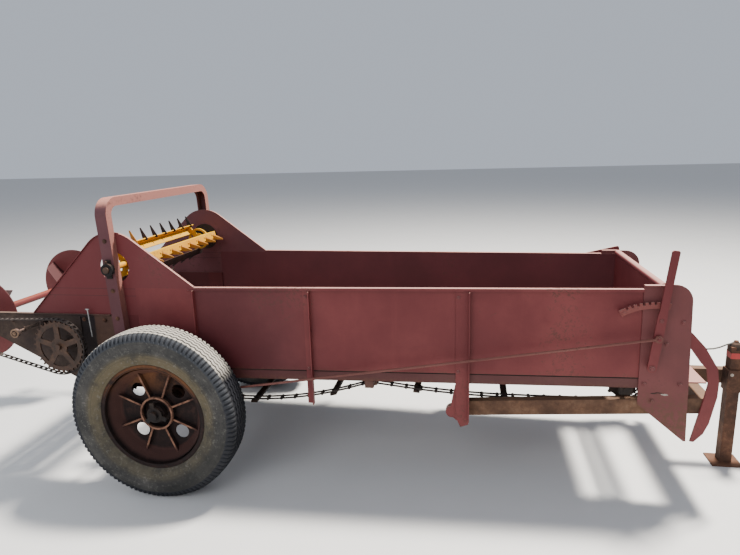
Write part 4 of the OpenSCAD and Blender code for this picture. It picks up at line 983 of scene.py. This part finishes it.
def notched_quadrant():
    """An arc with square notches about the feed lever's pivot, on two studs."""
    outer, inner, stud_r, stud_half = 0.312, 0.282, 0.292, 0.009
    plate_off, plate_deep = 0.020, 0.008
    notch_deep, notch_half, count = 0.012, 0.0055 / outer, 7
    first, last, pitch = math.radians(77.5), math.radians(120.5), math.radians(4.7)
    rim = [(outer, first), (outer, first + math.radians(3))]
    for i in range(count):
        a = first + math.radians(8) + i * pitch
        rim += [(outer, a - pitch / 2), (outer, a - notch_half), (outer - notch_deep, a - notch_half),
                (outer - notch_deep, a + notch_half), (outer, a + notch_half)]
    rim += [(outer, rim[-1][1] + pitch / 2), (outer, last)]
    rim += [(inner, last - (last - first) * i / 20) for i in range(21)]
    outline = [(r * math.cos(a), r * math.sin(a)) for r, a in rim]
    quadrant = Shape()
    quadrant.plate([outline], on_side(LEVER_D, plate_off, LEVER_Z)[0],
                   (math.cos(TAPER), math.sin(TAPER), 0), (0, 0, 1), plate_deep)
    # Each stud stands on its own face: the front plate's, and the side's
    for a, root in ((first + math.radians(4), 0.0065), (last - math.radians(3), 0.0005)):
        d, z = LEVER_D + stud_r * math.cos(a), LEVER_Z + stud_r * math.sin(a)
        quadrant.bar([on_side(d, root, z)[0], on_side(d, plate_off + 0.001, z)[0]], stud_half, 16)
        quadrant.bolt(*on_side(d, plate_off + plate_deep, z), size=0.008, high=0.0055)
    quadrant.made("quadrant_notched", NOTCHED, "frame", ("quadrant",))


def side_seams():
    """The dark joint between each side panel and its sill."""
    stretches, offs, heights = ((-0.43, 0), (0, 2.16)), (-0.0048, -0.0028), (0.6083, 0.6137)
    seam = Shape()
    for side in (-1, 1):
        for ends in stretches:
            seam.block([on_side(d, off, z, side)[0] for d in ends for off in offs for z in heights])
    seam.made("side_seams", DARK, "frame")


def idler_ring():
    """The worn ring and bolt of the right-hand chain's idler."""
    x, z = AXLE_X - 0.804, 0.812
    ring_y, bolt_y, ring_r, hole_r = -0.6482, -0.6515, 0.0235, 0.0165
    ring = Shape()
    ring.plate([circle(ring_r), circle(hole_r)], (x, ring_y, z), *UPRIGHT, 0.004)
    ring.bolt((x, bolt_y, z), (0, -1, 0), size=0.0075, high=0.005)
    ring.made("idler_ring", RING, "frame")


def bearing_flange():
    """The bolted flange round the upper shaft, on the inside of the left raised side."""
    x, z = UPPER
    plate_r, boss_r, bore_r, bolts_r = 0.086, 0.036, 0.020, 0.066
    plate_y, boss_y, bolt_y = 0.5255, 0.5230, 0.5228
    flange = Shape()
    flange.plate([circle(plate_r, 40), circle(bore_r, 20)], (x, plate_y, z), *UPRIGHT, 0.003)
    flange.plate([circle(boss_r), circle(bore_r, 20)], (x, boss_y, z), *UPRIGHT, 0.010)
    for a, b in circle(bolts_r, 4, start=0.6):
        flange.bolt((x + a, bolt_y, z + b), (0, -1, 0), size=0.007, high=0.005)
    flange.made("left_bearing_flange", DARK, "frame")


def tension_spring():
    """The coil spring that pulls the idler against its chain."""
    y = -0.598
    start, end = Vector((AXLE_X - 0.782, y, 0.826)), Vector((AXLE_X - 0.704, y, 0.849))
    turns, per_turn, coil_r, wire_r = 9, 10, 0.007, 0.0016
    axis = (end - start).normalized()
    u = axis.orthogonal().normalized()
    w = axis.cross(u)
    count = turns * per_turn
    coil = []
    for k in range(count + 1):
        a = 2 * math.pi * k / per_turn
        coil.append(start + (end - start) * (k / count) + coil_r * (u * math.cos(a) + w * math.sin(a)))
    spring = Shape()
    spring.bar(coil, wire_r, 6)
    spring.made("tension_spring", DARK, "frame", smooth=True)


# Floor, lights and camera

def floor():
    reach = 40
    mesh = bpy.data.meshes.new("floor")
    mesh.from_pydata([(-reach, -reach, 0), (reach, -reach, 0), (reach, reach, 0), (-reach, reach, 0)], [],
                     [(0, 1, 2, 3)])
    plane = bpy.data.objects.new("floor", mesh)
    bpy.context.scene.collection.objects.link(plane)
    g = Graph("floor_pale")
    tone = g.mix(g.noise(3, 4, 0.5), (0.56, 0.555, 0.545), (0.6, 0.595, 0.585))
    mesh.materials.append(g.done(tone, 0.9, 0.1))


def sky(colour, strength):
    world = bpy.data.worlds.new("world")
    world.use_nodes = True
    background = world.node_tree.nodes["Background"]
    background.inputs[0].default_value = (*colour, 1)
    background.inputs[1].default_value = strength
    bpy.context.scene.world = world


def area_light(name, place, aim, power, size, colour):
    data = bpy.data.lights.new(name, "AREA")
    data.energy = power
    data.size = size
    data.color = colour
    lamp = bpy.data.objects.new(name, data)
    lamp.location = place
    lamp.rotation_euler = (Vector(aim) - Vector(place)).to_track_quat("-Z", "Y").to_euler()
    bpy.context.scene.collection.objects.link(lamp)


def camera():
    """The photo's viewpoint, solved from the near wheel and the corners of the box."""
    place = Vector((0.5356, -3.1716, 1.7078))
    yaw, tilt, roll = math.radians(-10.10), math.radians(12.66), math.radians(1.65)
    focal_px, photo_width_px, sensor_mm = 577.6, 740, 36
    ahead = Vector((math.sin(yaw) * math.cos(tilt), math.cos(yaw) * math.cos(tilt), -math.sin(tilt)))
    right = Vector((math.cos(yaw), -math.sin(yaw), 0))
    down = ahead.cross(right)
    across = math.cos(roll) * right + math.sin(roll) * down
    below = -math.sin(roll) * right + math.cos(roll) * down
    data = bpy.data.cameras.new("camera")
    data.sensor_fit = "HORIZONTAL"
    data.sensor_width = sensor_mm
    data.lens = focal_px / photo_width_px * sensor_mm
    data.clip_end = 200
    cam = bpy.data.objects.new("camera", data)
    cam.matrix_world = Matrix.Translation(place) @ Matrix((across, -below, -ahead)).transposed().to_4x4()
    bpy.context.scene.collection.objects.link(cam)
    bpy.context.scene.camera = cam


# The whole scene

tyre("tyre_right", -1, "right_wheel")
tyre("tyre_left", 1, "left_wheel")
wheel_dish("wheel_right_dish", -1, "right_wheel")
wheel_dish("wheel_left_dish", 1, "left_wheel")
for drive in DRIVES:
    drive_chain(*drive)
apron_links()
upper_beater()
bolts()
lever_bolts()
oil_rod()
jack_collar()
jack_cap()
worn_spots()
jack_handle()
notched_quadrant()
side_seams()
idler_ring()
bearing_flange()
tension_spring()

sky(colour=(0.8, 0.87, 1.0), strength=0.62)
floor()
area_light("key", place=(2.6, 2.1, 8.6), aim=(0, 0, 0.5), power=3500, size=1.2, colour=(1, 0.95, 0.87))
area_light("fill", place=(-2, -7, 4.5), aim=(0, 0, 0.6), power=300, size=5, colour=(0.94, 0.96, 1))
area_light("left", place=(-6, 0.5, 4), aim=(-0.8, 0, 0.6), power=120, size=3, colour=(0.9, 0.95, 1))
camera()
